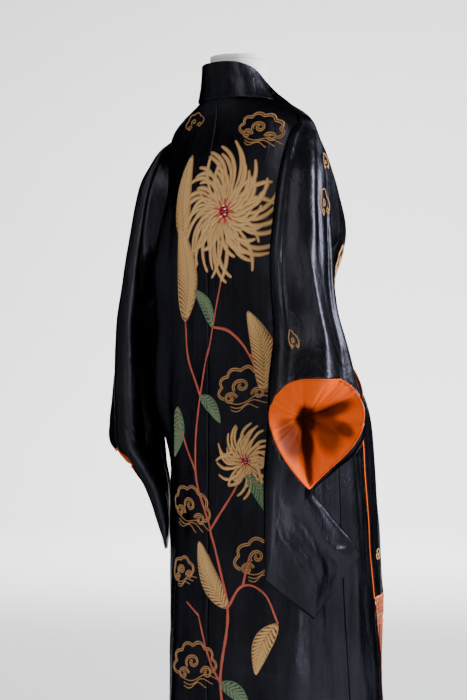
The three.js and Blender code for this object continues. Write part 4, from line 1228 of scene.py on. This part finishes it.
def build_fringe(end):
    """Knotted net under a narrow heading, then loose strands that draw together."""
    rng = np.random.default_rng(11 if end["name"] == "outer" else 12)
    top = end["top"] - end["length"] - 1.0
    net, whole = sewing_size("net_height"), sewing_size("fringe_length")

    def at(offset, z, forward):
        """A place under the end: millimetres across, height, and distance out."""
        share, z, forward = np.broadcast_arrays(offset / end["width"], z, forward)
        point = tail_point(end, np.ones(share.shape), share, 1.5 + forward)
        point[..., 2] = z
        return point

    lines = {"fringe": [], "fringe_dark": []}
    count = FRINGE_STRANDS
    s = np.linspace(0, 1, 15)
    for k in range(count):
        for lean in (-1, 1):
            start = (k + 0.5) / count - 0.5
            swing = lean / count * np.abs((2 * s * 1.5 + 0.5 * (k % 2)) % 2 - 1)
            narrow = mix(1, 0.8, s)
            offset = (start + swing) * end["width"] * narrow
            z = top + 1 - net * s
            forward = 0.8 * lean * np.cos(np.pi * 3 * s) + 0.6 * np.sin(k + 5 * s)
            colour = "fringe_dark" if (k * 7 + lean) % 5 < 2 else "fringe"
            lines[colour].append(at(offset, z, forward))
    s = np.linspace(0, 1, 16)
    for k in range(LOOSE_STRANDS):
        start = ((k + 0.5) / LOOSE_STRANDS - 0.5) * end["width"] * 0.8
        length = whole - net + rng.uniform(-9, 5)
        phase, bend = rng.uniform(0, 6.28), rng.uniform(0.6, 2.0)
        offset = start * mix(1, 0.56, s) + bend * np.sin(phase + 7 * s) * s
        z = top + 2 - net - length * s
        forward = bend * np.cos(phase + 5 * s) * s + rng.uniform(-1.2, 1.2)
        colour = "fringe_dark" if rng.random() < DARK_SHARE else "fringe"
        lines[colour].append(at(offset, z, forward))
    knots = []
    t = np.linspace(0, 2 * np.pi, 9)
    for row, height in enumerate((0.33, 0.66, 1.0)):
        for k in range(count // 2):
            offset = ((2 * k + 1 + row % 2) / count - 0.5) * end["width"] * mix(1, 0.8, height)
            knots.append(at(offset + 0.9 * np.cos(t), top - net * height + 0.9 * np.sin(t),
                            1.2 + 0 * t))
    lines["fringe"] += knots
    orange = strands_piece(f"fringe_{end['name']}_strands", lines["fringe"],
                           STRAND_RADIUS, MATERIALS["fringe"])
    brown = strands_piece("brown", lines["fringe_dark"], STRAND_RADIUS,
                          MATERIALS["fringe_dark"])
    heading = np.linspace(-0.5, 0.5, 24) * end["width"]
    rows = [at(heading, top + rise, out) for rise, out in ((2.6, 0), (1.0, 0.2), (-0.8, 0.2))]
    head = strands_piece("heading", rows, HEADING_RADIUS, MATERIALS["fringe"])
    join_pieces(orange, brown, head)
    return settle(orange, "fringe_silk", f"fringe_{end['name']}")


# ------------------------------------------------------------------ embroidery
# The places are millimetres across the cloth from a surface's own middle, and height; on
# the sash ends the height counts from the lower end
STEMS = (
    ((70, 300), (38, 430), (52, 560), (8, 690), (-32, 790), (-22, 920), (14, 1040), (38, 1120)),
    ((52, 560), (84, 600), (128, 590), (152, 540)), ((8, 690), (52, 742), (84, 790)),
    ((-32, 790), (-66, 840), (-82, 900)), ((-22, 920), (-52, 980), (-62, 1050)),
    ((14, 1040), (58, 1030), (98, 990), (126, 930)), ((38, 430), (4, 470), (-24, 540)),
    ((98, 990), (132, 1000), (150, 1036)), ((84, 600), (96, 650)), ((-24, 540), (-58, 560)),
)
STEM_WIDTH = 7.5
# Flowers: middle, radius, petals in the outer ring, and the turn of their tips
FLOWERS = table(
    "s z radius petals swirl", (48, 1236, 118, 38, 0.5), (88, 812, 64, 26, -0.5),
)
# Leaves: base, tip, width, sideways bend and thread
LEAVES = table(
    "s0 z0 s1 z1 width bend thread",
    (-62, 1050, -72, 1216, 50, -14, "gold_fill"), (-60, 1180, -50, 1340, 42, 10, "gold_fill"),
    (52, 560, -24, 668, 46, 12, "gold_fill"), (126, 930, 96, 1066, 44, -14, "gold_fill"),
    (14, 1040, -34, 1104, 26, -8, "green"), (88, 790, 142, 716, 28, 8, "green"),
    (-82, 900, -96, 812, 26, 8, "green"), (150, 540, 112, 452, 34, -10, "gold_fill"),
    (38, 430, 98, 396, 26, 8, "green"), (-22, 920, 34, 876, 24, 7, "green"),
)
# Clouds: surface, middle, half width and half height, lean, and bumps
CLOUDS = table(
    "surface s z wide high lean bumps",
    ("back", 112, 1372, 44, 27, -10, 6), ("back", -62, 1398, 26, 17, 8, 4),
    ("back", 84, 934, 52, 35, 10, 6), ("back", -46, 724, 50, 36, -12, 5),
    ("back", 116, 646, 46, 34, 12, 5), ("back", -70, 612, 30, 24, 14, 4),
    ("back", -34, 452, 56, 38, 8, 6), ("back", 104, 330, 50, 34, -8, 5),
    ("back", -40, 290, 44, 30, 6, 5), ("back", 20, 210, 50, 32, 0, 6),
    ("left_sleeve", 24, 962, 18, 36, 14, 5), ("left_sleeve", 22, 884, 12, 18, -10, 4),
    ("right_sleeve", 34, 1240, 11, 30, 14, 4), ("right_sleeve", 36, 1312, 5, 18, 12, 3),
    ("right_sleeve", -41, 1012, 6, 20, 8, 3), ("chest", -6, 1150, 19, 30, 20, 5),
    ("tail_outer", 0, 70, 9, 13, 0, 4), ("tail_inner", 0, 70, 9, 13, 0, 4),
)
CORD_WIDTH = 2.3
CORD_HEIGHT = 1.0
STITCH_LIFT = 0.3


def chart_table(base):
    """Angles at even steps of length round the body, for even heights."""
    reach, step = 65, 4.0
    z = np.arange(HEM_Z - 8.0, NECKLINE_Z + 16, 8.0)
    angles = np.zeros((len(z), 2 * reach + 1))
    angles[:, reach] = base
    for k in range(reach):
        for way in (-1, 1):
            here = angles[:, reach + way * k]
            angles[:, reach + way * (k + 1)] = here + way * step * degrees_for(1.0, here, z)
    return angles, reach, step, z[0]


def body_chart(base, lift=None):
    """Gives places on the body for millimetres across from an angle, and heights."""
    angles, reach, step, low = chart_table(base)

    def place(spot, out):
        s = np.clip(spot[..., 0] / step + reach, 0, angles.shape[1] - 1.001)
        row = np.clip((spot[..., 1] - low) / 8.0, 0, angles.shape[0] - 1.001)
        i, j = row.astype(int), s.astype(int)
        u, v = row - i, s - j
        angle = ((1 - u) * ((1 - v) * angles[i, j] + v * angles[i, j + 1])
                 + u * ((1 - v) * angles[i + 1, j] + v * angles[i + 1, j + 1]))
        return body_at(angle, spot[..., 1], out + (lift(angle, spot[..., 1]) if lift else 0))
    return place


def sleeve_chart(rows, side, creases):
    return lambda spot, out: sleeve_face(rows, side, creases, spot[..., 0], spot[..., 1], out)


def tail_chart(end):
    """Gives places on a sash end for millimetres across, and up from its lower end."""
    def place(spot, out):
        low = end["top"] - end["length"]
        return tail_point(end, (end["length"] - spot[..., 1]) / end["length"],
                          spot[..., 0] / end["width"], SASH_WALL + out)
    return place


def curve(points, step=3.0):
    """A smooth line through points, at even steps."""
    points = np.array(points, float)
    if len(points) < 3:
        points = np.array([points[0], points.mean(0), points[-1]])
    rows = [{"x": p[0], "y": p[1], "z": i} for i, p in enumerate(points)]
    s = np.linspace(0, len(points) - 1, 24 * len(points))
    line = np.stack([column(rows, "x", s), column(rows, "y", s)], -1)
    return even(line, step)


def even(line, step):
    """A flat line with its points at even steps."""
    length = length_along(line)
    places = np.linspace(0, length[-1], max(4, int(length[-1] / step) + 1))
    return np.stack([np.interp(places, length, line[:, k]) for k in (0, 1)], -1)


def side_of(line):
    """The direction to the left of a flat line at each point."""
    ahead = unit(np.gradient(line, axis=0))
    return np.stack([-ahead[:, 1], ahead[:, 0]], -1)


SEWING = {}


def lay(surface, thread, line, width, height, lift=STITCH_LIFT):
    """Lays a thread, cord or padded row on a surface along a line."""
    width = np.broadcast_to(width, len(line))[:, None]
    across = np.array([1, 0.62, 0, -0.62, -1, 0])
    rise = np.array([0, 0.74, 1, 0.74, 0, -0.3])
    spot = line[:, None] + side_of(line)[:, None] * (across * width / 2)[..., None]
    thick = height * np.minimum(1, width / width.max() + 0.25)
    ring = SURFACES[surface](spot, lift + rise * thick)
    length = length_along(line)
    uv = np.stack(np.broadcast_arrays(length[:, None], across * width / 2), -1)
    SEWING.setdefault(thread, []).append((ring, uv))


def double_cord(surface, line, gap=1.75):
    """Two gold cords laid side by side."""
    width = sewing_size("cord_width")
    for way in (-1, 1):
        lay(surface, "gold_cord", line + way * gap * side_of(line), width, CORD_HEIGHT)


def spiral(centre, radius, start, turns, way, steps=40):
    """A line that curls in to its centre."""
    s = np.linspace(0, 1, steps)
    turn = start + way * 2 * np.pi * turns * s
    size = radius * (1 - 0.86 * s)
    return np.stack([centre[0] + size * np.cos(turn), centre[1] + size * np.sin(turn)], -1)


def sew_cloud(row):
    """A scalloped outline whose ends curl in, an inner curl and two trailing lines."""
    surface, wide, high = row["surface"], row["wide"], row["high"]
    lean = math.radians(row["lean"])
    turning = np.array([[math.cos(lean), math.sin(lean)], [-math.sin(lean), math.cos(lean)]])
    small = min(wide, high) < 18
    gap = 0.95 if small else 1.75

    def put(line, single=small):
        line = even(line * (wide, high) @ turning + (row["s"], row["z"]), 2.6)
        if single:
            lay(surface, "gold_cord", line, sewing_size("cord_width") * 0.8, CORD_HEIGHT)
        else:
            double_cord(surface, line, gap)

    turn = np.linspace(math.radians(-20), math.radians(200), 150)
    share = (turn - turn[0]) / (turn[-1] - turn[0])
    bump = 1 + 0.17 * np.abs(np.sin(np.pi * row["bumps"] * share)) - 0.1
    outline = np.stack([bump * np.cos(turn), bump * np.sin(turn)], -1)
    put(outline)
    for way, end in ((-1, outline[0]), (1, outline[-1])):
        centre = end + np.array([way * 0.27, -0.04])
        put(spiral(centre, 0.28, 0 if way > 0 else np.pi, 1.3, way))
    put(spiral(np.array([-0.06, 0.16]), 0.34, math.radians(215), 1.35, -1))
    if not small:
        s = np.linspace(0, 1, 40)
        for low, reach in ((-0.56, 1.2), (-0.74, 0.85), (-0.9, 0.5)):
            tail = np.stack([mix(-0.6, reach, s), low - 0.13 * np.sin(2 * np.pi * s * 1.2)], -1)
            put(tail, single=True)


def sew_stem(points):
    """A rust stem that narrows to its end."""
    line = curve(points, 4.0)
    s = np.linspace(0, 1, len(line))
    main_stem = len(points) > 5
    widest = sewing_size("stem_width")
    width = mix(widest if main_stem else widest * 0.72, widest * 0.45, s)
    width = width * (1 + 0.12 * np.sin(line[:, 1] / 6 + line[:, 0] / 9))
    lay("back", "rust", line, width, 1.5)


def sew_leaf(row):
    """Padded leaf of slanting rows either side of its vein over a dark sheet of painted shade,
    with a corded edge.
    """
    base, tip = np.array([row["s0"], row["z0"]], float), np.array([row["s1"], row["z1"]], float)
    axis = tip - base
    size = np.linalg.norm(axis)
    side = np.array([-axis[1], axis[0]]) / size

    def vein(t):
        return (base + np.outer(t, axis)
                + np.outer(row["bend"] * np.sin(np.pi * np.clip(t, 0, 1)), side))

    def half(t):
        return row["width"] / 2 * np.sin(np.pi * np.clip(t, 0, 1) ** 0.85) ** 0.75

    count = max(8, int(size / 6.6))
    t = np.linspace(0.0, 1, 40)
    # A dark sheet under the rows: painted shade in the gaps between them
    ground = "gold_ground" if row["thread"] != "green" else "green_dark"
    line = even(vein(t), 4.0)
    width = 2 * np.interp(np.linspace(0, 1, len(line)), t, half(t))
    lay("back", ground, line[1:-1], width[1:-1], 0.5, 0.1)
    t = np.linspace(0.04, 0.93, count)
    slant = 0.5 * row["width"] / size
    for way in (-1, 1):
        for k, place in enumerate(t):
            end = min(place + slant * half(np.array([place]))[0] / (row["width"] / 2), 0.995)
            start = vein(np.array([place]))[0]
            stop = vein(np.array([end]))[0] + way * side * half(np.array([end]))[0] * 0.97
            s = np.linspace(0, 1, 6)[:, None]
            line = mix(start, stop, s) + 0.8 * np.sin(np.pi * s) * axis / size
            width = 0.8 * size * (t[1] - t[0]) * np.sin(np.pi * mix(0.2, 0.88, s[:, 0])) ** 0.4
            lay("back", row["thread"], line, width, 2.4 + 0.4 * (k % 2))
    edge = "gold_cord" if row["thread"] != "green" else "green"
    t = np.linspace(0.0, 1, 50)
    for way in (-1, 1):
        line = even(vein(t) + way * side * half(t)[:, None], 3.0)
        lay("back", edge, line, sewing_size("cord_width"), 1.2)
    lay("back", "rust" if row["thread"] == "green" else "gold_cord",
        even(vein(t[:-3]), 3.0), 1.8, 2.4)


def sew_flower(row, seed):
    """Spider chrysanthemum: rings of long curling petals, each padded and corded."""
    rng = np.random.default_rng(seed)
    centre, radius = np.array([row["s"], row["z"]], float), row["radius"]
    rings = ((0.30, 1.0, 1.0), (0.20, 0.74, 0.82), (0.10, 0.48, 0.62))
    for ring, (start, stop, share) in enumerate(rings):
        count = int(row["petals"] * share)
        for k in range(count):
            bearing = 2 * np.pi * (k + 0.5 * (ring % 2)) / count + rng.uniform(-0.05, 0.05)
            reach = stop * radius * rng.uniform(0.86, 1.04)
            swirl = row["swirl"] * rng.uniform(0.55, 1.25) * (1 if rng.random() < 0.8 else -0.7)
            t = np.linspace(0, 1, 18)
            angle = bearing + swirl * t**2
            distance = mix(start * radius, reach, t)
            line = centre + distance[:, None] * np.stack([np.cos(angle), np.sin(angle)], -1)
            line = even(line, 3.2)
            s = np.linspace(0, 1, len(line))
            wide = radius * 0.052 * (0.5 + 0.65 * np.sin(np.pi * s**1.25))
            wide[-1] *= 0.4
            lay("back", "gold_cord", line, wide + 2.4, 0.7, STITCH_LIFT + 0.25 * ring)
            lay("back", "gold_fill", line, wide, 1.5, STITCH_LIFT + 0.25 * ring)
    spots = [(0, 0)] + [(r, a) for r, n in ((0.045, 6), (0.09, 11))
                        for a in np.linspace(0, 2 * np.pi, n, endpoint=False)]
    for k, (distance, angle) in enumerate(spots):
        spot = centre + radius * distance * np.array([math.cos(angle), math.sin(angle)])
        line = spot + np.linspace(-1, 1, 5)[:, None] * radius * 0.018 * np.array([1.0, 0.3])
        thread = "ivory" if k % 4 == 2 else "red"
        lay("back", thread, line, radius * 0.036 * np.array([0.5, 0.9, 1, 0.9, 0.5]), 2.4, 0.8)
    petals = 9
    for k in range(petals):
        angle = 2 * np.pi * k / petals
        way = np.array([math.cos(angle), math.sin(angle)])
        line = centre + np.linspace(0.10, 0.2, 6)[:, None] * radius * way
        lay("back", "red", line, radius * 0.04 * np.array([0.4, 0.8, 1, 1, 0.8, 0.3]), 2.2, 0.9)


SURFACES = {}


def build_embroidery():
    tails = {"tail_" + end["name"]: tail_chart(end) for end in SASH_ENDS}
    SURFACES.update(
        back=body_chart(90), chest=body_chart(215),
        right_sleeve=sleeve_chart(RIGHT_SLEEVE, -1, RIGHT_SLEEVE_CREASES),
        left_sleeve=sleeve_chart(LEFT_SLEEVE, 1, LEFT_SLEEVE_CREASES), **tails)
    SEWING.clear()
    for points in STEMS:
        sew_stem(points)
    for row in LEAVES:
        sew_leaf(row)
    for row in CLOUDS:
        sew_cloud(row)
    for seed, row in enumerate(FLOWERS):
        sew_flower(row, 31 + seed)
    for thread, laid in SEWING.items():
        piece = tubes_piece("embroidery_" + thread, [ring for ring, _ in laid],
                            [uv for _, uv in laid], MATERIALS[thread])
        settle(piece)


# ------------------------------------------------------------------ dress form and stand
POLE_STEP_Z = 500
POLE_STEP_HEIGHT = 2
POLE_UPPER_SHARE = 0.86


def cylinder(name, sides, radius, low, high, y=0):
    """An upright cylinder between two heights, all in millimetres."""
    bpy.ops.object.select_all(action="DESELECT")
    bpy.ops.mesh.primitive_cylinder_add(vertices=sides, radius=radius * MM,
                                        depth=(high - low) * MM,
                                        location=(0, y * MM, (low + high) / 2 * MM))
    made = bpy.context.object
    made.name = name
    return made


def form_ring(z, sides):
    """One level of the dress form: torso, then shoulders, then neck."""
    angle = 360 * np.arange(sides) / sides
    shoulders = section(BODY, angle, min(z, 1430) + 0 * angle, WALL + 2.6)
    torso = section(FORM, angle, min(z, FORM[-1]["z"]) + 0 * angle)
    point = mix(torso, shoulders, smooth(1300, 1345, z))
    turn = np.radians(angle)
    neck = np.stack([NECK_RADIUS * np.cos(turn), NECK_CENTRE_Y + NECK_RADIUS * np.sin(turn),
                     z + 0 * angle], -1)
    point = mix(point, neck, smooth(1418, 1446, z))
    point[:, 2] = z
    return point


def build_form():
    levels = np.r_[FORM_LOW_Z, FORM_LOW_Z + 0.6, FORM_LOW_Z + 3, FORM_LOW_Z + 8,
                   np.linspace(865, 1440, 92), np.linspace(1444, NECK_TOP_Z, 14)]
    sides = 120
    rings = np.stack([form_ring(z, sides) for z in levels])
    for row, shrink in ((0, 0.975), (1, 0.988), (2, 0.996)):
        middle = rings[row].mean(0)
        rings[row] = middle + (rings[row] - middle) * shrink
    faces = grid_faces(len(levels), sides, wrap=True)
    last = (len(levels) - 1) * sides
    faces.append(list(range(sides))[::-1])
    faces.append([last + j for j in range(sides)])
    torso = new_piece("dress_form", rings, faces, MATERIALS["jersey"])
    torso.data.shade_smooth()
    select_only(torso)
    bpy.ops.object.shade_smooth_by_angle(angle=math.radians(50))
    settle(torso, "form_cloth", "form_torso")
    cap = cylinder("form_neck_cap", 96, NECK_RADIUS, NECK_TOP_Z + SEAM, CAP_TOP_Z,
                   NECK_CENTRE_Y)
    edit_faces(cap, lambda face: face.normal.z > 0.9)
    bpy.ops.mesh.inset(thickness=0.004, depth=0)
    bpy.ops.mesh.inset(thickness=0.0015, depth=-0.0012)
    bpy.ops.mesh.inset(thickness=0.024, depth=0.0007)
    bpy.ops.object.mode_set(mode="OBJECT")
    finish_hard(cap, 0.0018, MATERIALS["cap"])
    settle(cap, "form_cloth", "form_cap")


def edit_faces(piece, wanted):
    """Opens a piece in edit mode with the wanted faces selected."""
    select_only(piece)
    bpy.ops.object.mode_set(mode="EDIT")
    bpy.ops.mesh.select_mode(type="FACE")
    bpy.ops.mesh.select_all(action="DESELECT")
    mesh = bmesh.from_edit_mesh(piece.data)
    for face in mesh.faces:
        face.select_set(bool(wanted(face)))
    bmesh.update_edit_mesh(piece.data)


def finish_hard(piece, edge, material):
    """Bevels a hard piece's edges, smooths it and puts its place in its mesh."""
    select_only(piece)
    bpy.ops.object.transform_apply(location=True, rotation=True, scale=True)
    apply_modifier(piece, "BEVEL", width=edge, segments=3, limit_method="ANGLE",
                   angle_limit=math.radians(35))
    piece.data.materials.append(material)
    select_only(piece)
    bpy.ops.object.shade_smooth_by_angle(angle=math.radians(30))


def build_stand():
    pole = cylinder("stand_tube", 64, POLE_RADIUS, BASE_HEIGHT + SEAM, FORM_LOW_Z - SEAM)
    select_only(pole)
    bpy.ops.object.transform_apply(location=True)
    edit_faces(pole, lambda face: abs(face.normal.z) < 0.5)
    step_low, step_high = POLE_STEP_Z * MM, (POLE_STEP_Z + POLE_STEP_HEIGHT) * MM
    bpy.ops.mesh.bisect(plane_co=(0, 0, step_low), plane_no=(0, 0, 1))
    edit_faces(pole, lambda face: abs(face.normal.z) < 0.5)
    bpy.ops.mesh.bisect(plane_co=(0, 0, step_high), plane_no=(0, 0, 1))
    edit_faces(pole, lambda face: (abs(face.normal.z) < 0.5
                                   and face.calc_center_median().z > step_high))
    bpy.ops.transform.resize(value=(POLE_UPPER_SHARE, POLE_UPPER_SHARE, 1),
                             center_override=(0, 0, step_high))
    bpy.ops.object.mode_set(mode="OBJECT")
    finish_hard(pole, 0.0008, MATERIALS["steel"])
    settle(pole, "stand_metal", "stand_pole")
    base = cylinder("stand_round_base", 128, BASE_RADIUS, 0, BASE_HEIGHT)
    edit_faces(base, lambda face: face.normal.z > 0.9)
    bpy.ops.mesh.inset(thickness=0.005, depth=0)
    bpy.ops.mesh.inset(thickness=0.12, depth=0)
    bpy.ops.object.mode_set(mode="OBJECT")
    finish_hard(base, 0.003, MATERIALS["steel"])
    settle(base, "stand_metal", "stand_base")


# ------------------------------------------------------------------ stage
CAMERA_AZIMUTH = 228
CAMERA_DISTANCE = 3.2
CAMERA_HEIGHT = 1.0
FOCAL = 93.5
SENSOR_WIDTH = 36
SIDE_SHIFT = -0.0207
FLOOR_RADIUS = 7.2
BACKDROP_BEND = 2.4
BACKDROP_TOP = 4.2


def add_light(name, place, aim, size, power, colour):
    """A rectangular light that the camera doesn't see."""
    data = bpy.data.lights.new(name, "AREA")
    data.shape, data.size, data.size_y = "RECTANGLE", *size
    data.energy, data.color = power, colour
    light = bpy.data.objects.new(name, data)
    bpy.context.collection.objects.link(light)
    light.location = place
    light.rotation_euler = (Vector(aim) - Vector(place)).to_track_quat("-Z", "Y").to_euler()
    light.visible_camera = False
    return light


def build_stage():
    stage = bpy.context.scene.robe_stage
    turn = math.radians(CAMERA_AZIMUTH)
    away = Vector((math.sin(turn), -math.cos(turn), 0))
    camera_data = bpy.data.cameras.new("camera")
    camera = bpy.data.objects.new("camera", camera_data)
    bpy.context.collection.objects.link(camera)
    camera.location = away * CAMERA_DISTANCE + Vector((0, 0, CAMERA_HEIGHT))
    camera.rotation_euler = (-away).to_track_quat("-Z", "Y").to_euler()
    camera_data.lens, camera_data.sensor_width = FOCAL, SENSOR_WIDTH
    camera_data.shift_x = SIDE_SHIFT
    bpy.context.scene.camera = camera

    bpy.ops.object.select_all(action="DESELECT")
    profile = [(FLOOR_RADIUS, 0)] + [
        (FLOOR_RADIUS + BACKDROP_BEND * math.sin(a), BACKDROP_BEND - BACKDROP_BEND * math.cos(a))
        for a in np.linspace(0.12, math.pi / 2, 14)] + [
        (FLOOR_RADIUS + BACKDROP_BEND, BACKDROP_TOP)]
    sides = 96
    turns = 2 * np.pi * np.arange(sides) / sides
    rings = np.array([[(r * math.cos(t), r * math.sin(t), z) for t in turns]
                      for r, z in profile]) / MM
    faces = grid_faces(len(rings), sides, wrap=True, flip=True)
    faces.append(list(range(sides)))
    material, tree, shader = new_material("backdrop_paper", roughness=0.9)
    place = place_of(tree)
    tone = noise(tree, place, 0.9, 2.0)
    colour = np.array(stage.backdrop_colour)
    tree.links.new(ramp(tree, tone, (0.3, colour * 0.985), (0.7, colour * 1.01)),
                   shader.inputs["Base Color"])
    floor = new_piece("studio_floor", rings, faces, material)

    side = Vector((math.cos(turn), math.sin(turn), 0))
    up = Vector((0, 0, 1))
    add_light("window_light", side * 3.3 + away * 0.4 + up * 2.35, (0, 0, 1.0), (1.0, 1.4),
              stage.window_power, (0.93, 0.96, 1.0))
    add_light("sleeve_light", away * 3.3 + side * 1.2 + up * 0.8, (0, 0, 0.75), (0.5, 1.5),
              stage.window_power * 0.1, (0.95, 0.97, 1.0))
    add_light("soft_fill", away * 3.6 - side * 1.2 + up * 3.0, (0, 0, 1.0), (2.2, 2.2),
              stage.fill_power, (1.0, 0.98, 0.95))
    floor_light = add_light("floor_light", up * 5 - away * 4.4, -away * 4.4, (5, 5),
                            stage.wall_power * 0.55, (1, 1, 1))
    floor_light.data.spread = math.radians(110)
    for name, way, power, spread_angle in (
            ("far", side * 0.1 - away, 1.2, 110), ("right", side - away * 0.2, 0.05, 140),
            ("left", -side - away * 0.2, 0.2, 140), ("near", away, 0.2, 140)):
        way = way.normalized()
        light = add_light(f"wall_light_{name}", way * 3.6 + up * 4.4, way * 8.8 + up * 0.3,
                          (4, 2), stage.wall_power * power, (1, 1, 1))
        light.data.spread = math.radians(spread_angle)
    world = bpy.data.worlds.new("studio")
    world.use_nodes = True
    world.node_tree.nodes["Background"].inputs["Color"].default_value = (
        *stage.room_colour, 1)
    world.node_tree.nodes["Background"].inputs["Strength"].default_value = stage.room_light
    bpy.context.scene.world = world


# ------------------------------------------------------------------ the add-on
class RobeCloth(PropertyGroup):
    """Colours of the silk."""
    silk_colour: FloatVectorProperty(
        name="Silk", description="Colour of the outer silk", subtype="COLOR",
        default=(0.016, 0.016, 0.02), min=0, max=1)
    lining_colour: FloatVectorProperty(
        name="Lining", description="Colour of the lining silk", subtype="COLOR",
        default=(0.56, 0.066, 0.0), min=0, max=1)


class RobeSewing(PropertyGroup):
    """Sizes of the laid cord, the stems and the fringe."""
    cord_width: FloatProperty(
        name="Cord width", description="Width of one laid gold cord", unit="LENGTH",
        default=CORD_WIDTH * MM, min=0.5 * MM)
    stem_width: FloatProperty(
        name="Stem width", description="Widest part of the flower stem", unit="LENGTH",
        default=STEM_WIDTH * MM, min=1 * MM)
    fringe_length: FloatProperty(
        name="Fringe length", description="Length of the fringe with its net", unit="LENGTH",
        default=FRINGE_LENGTH * MM, min=60 * MM)
    net_height: FloatProperty(
        name="Net height", description="Height of the fringe's knotted net", unit="LENGTH",
        default=NET_HEIGHT * MM, min=5 * MM)


class RobeStage(PropertyGroup):
    """Studio round the robe."""
    backdrop_colour: FloatVectorProperty(
        name="Backdrop", description="Colour of the floor and backdrop", subtype="COLOR",
        default=(0.72, 0.72, 0.735), min=0, max=1)
    room_colour: FloatVectorProperty(
        name="Room", description="Colour of the light from the room", subtype="COLOR",
        default=(0.95, 0.96, 1.0), min=0, max=1)
    room_light: FloatProperty(name="Room light", description="Strength of the room's light",
                              default=0.24, min=0)
    window_power: FloatProperty(name="Window light", description="Power of the side light",
                                default=380, min=0, subtype="POWER", unit="POWER")
    fill_power: FloatProperty(name="Fill light", description="Power of the weak fill light",
                              default=60, min=0, subtype="POWER", unit="POWER")
    wall_power: FloatProperty(name="Wall light", description="Power of each backdrop light",
                              default=420, min=0, subtype="POWER", unit="POWER")


class RobeOperator:
    bl_options = {"REGISTER", "UNDO"}

    def execute(self, context):
        self.build()
        return {"FINISHED"}


class ROBE_OT_stage(RobeOperator, Operator):
    """Build the camera, floor, backdrop and lights"""
    bl_idname = "robe.stage"
    bl_label = "Stage"
    build = staticmethod(build_stage)


class ROBE_OT_finishes(RobeOperator, Operator):
    """Make the finishes of silk, thread, form and stand"""
    bl_idname = "robe.finishes"
    bl_label = "Finishes"
    build = staticmethod(make_materials)


class ROBE_OT_panels(RobeOperator, Operator):
    """Build the body panels"""
    bl_idname = "robe.panels"
    bl_label = "Body Panels"
    build = staticmethod(build_panels)


class ROBE_OT_sleeves(RobeOperator, Operator):
    """Build the two sleeves with the lining in their mouths"""
    bl_idname = "robe.sleeves"
    bl_label = "Sleeves"
    build = staticmethod(build_sleeves)


class ROBE_OT_collar(RobeOperator, Operator):
    """Build the collar band round the neck and down the fronts"""
    bl_idname = "robe.collar"
    bl_label = "Collar"
    build = staticmethod(build_collar)


class ROBE_OT_sash(RobeOperator, Operator):
    """Build the sash, its knot, its hanging ends and their fringe"""
    bl_idname = "robe.sash"
    bl_label = "Sash"
    build = staticmethod(build_sash)


class ROBE_OT_embroidery(RobeOperator, Operator):
    """Build the embroidery in cord and thread on the back, chest, sleeves and sash"""
    bl_idname = "robe.embroidery"
    bl_label = "Embroidery"
    build = staticmethod(build_embroidery)


class ROBE_OT_form(RobeOperator, Operator):
    """Build the limbless dress form and its neck cap"""
    bl_idname = "robe.form"
    bl_label = "Dress Form"
    build = staticmethod(build_form)


class ROBE_OT_stand(RobeOperator, Operator):
    """Build the pole and round base"""
    bl_idname = "robe.stand"
    bl_label = "Stand"
    build = staticmethod(build_stand)


OPERATORS = (ROBE_OT_stage, ROBE_OT_finishes, ROBE_OT_form, ROBE_OT_stand, ROBE_OT_panels,
             ROBE_OT_sleeves, ROBE_OT_collar, ROBE_OT_sash, ROBE_OT_embroidery)


class ROBE_PT_panel(Panel):
    """Lists the steps of building the robe"""
    bl_label = "Silk Robe"
    bl_space_type = "VIEW_3D"
    bl_region_type = "UI"
    bl_category = "Robe"

    def draw(self, context):
        scene = context.scene
        for group in (scene.robe_cloth, scene.robe_sewing, scene.robe_stage):
            for name in group.__annotations__:
                self.layout.prop(group, name)
        for operator in OPERATORS:
            self.layout.operator(operator.bl_idname)


CLASSES = (RobeCloth, RobeSewing, RobeStage, *OPERATORS, ROBE_PT_panel)


def register():
    for cls in CLASSES:
        bpy.utils.register_class(cls)
    bpy.types.Scene.robe_cloth = PointerProperty(type=RobeCloth)
    bpy.types.Scene.robe_sewing = PointerProperty(type=RobeSewing)
    bpy.types.Scene.robe_stage = PointerProperty(type=RobeStage)


def unregister():
    del bpy.types.Scene.robe_stage
    del bpy.types.Scene.robe_sewing
    del bpy.types.Scene.robe_cloth
    for cls in reversed(CLASSES):
        bpy.utils.unregister_class(cls)


def main():
    register()
    for operator in OPERATORS:
        group, name = operator.bl_idname.split(".")
        getattr(getattr(bpy.ops, group), name)()
    bpy.context.view_layer.update()


if __name__ == "__main__":
    main()
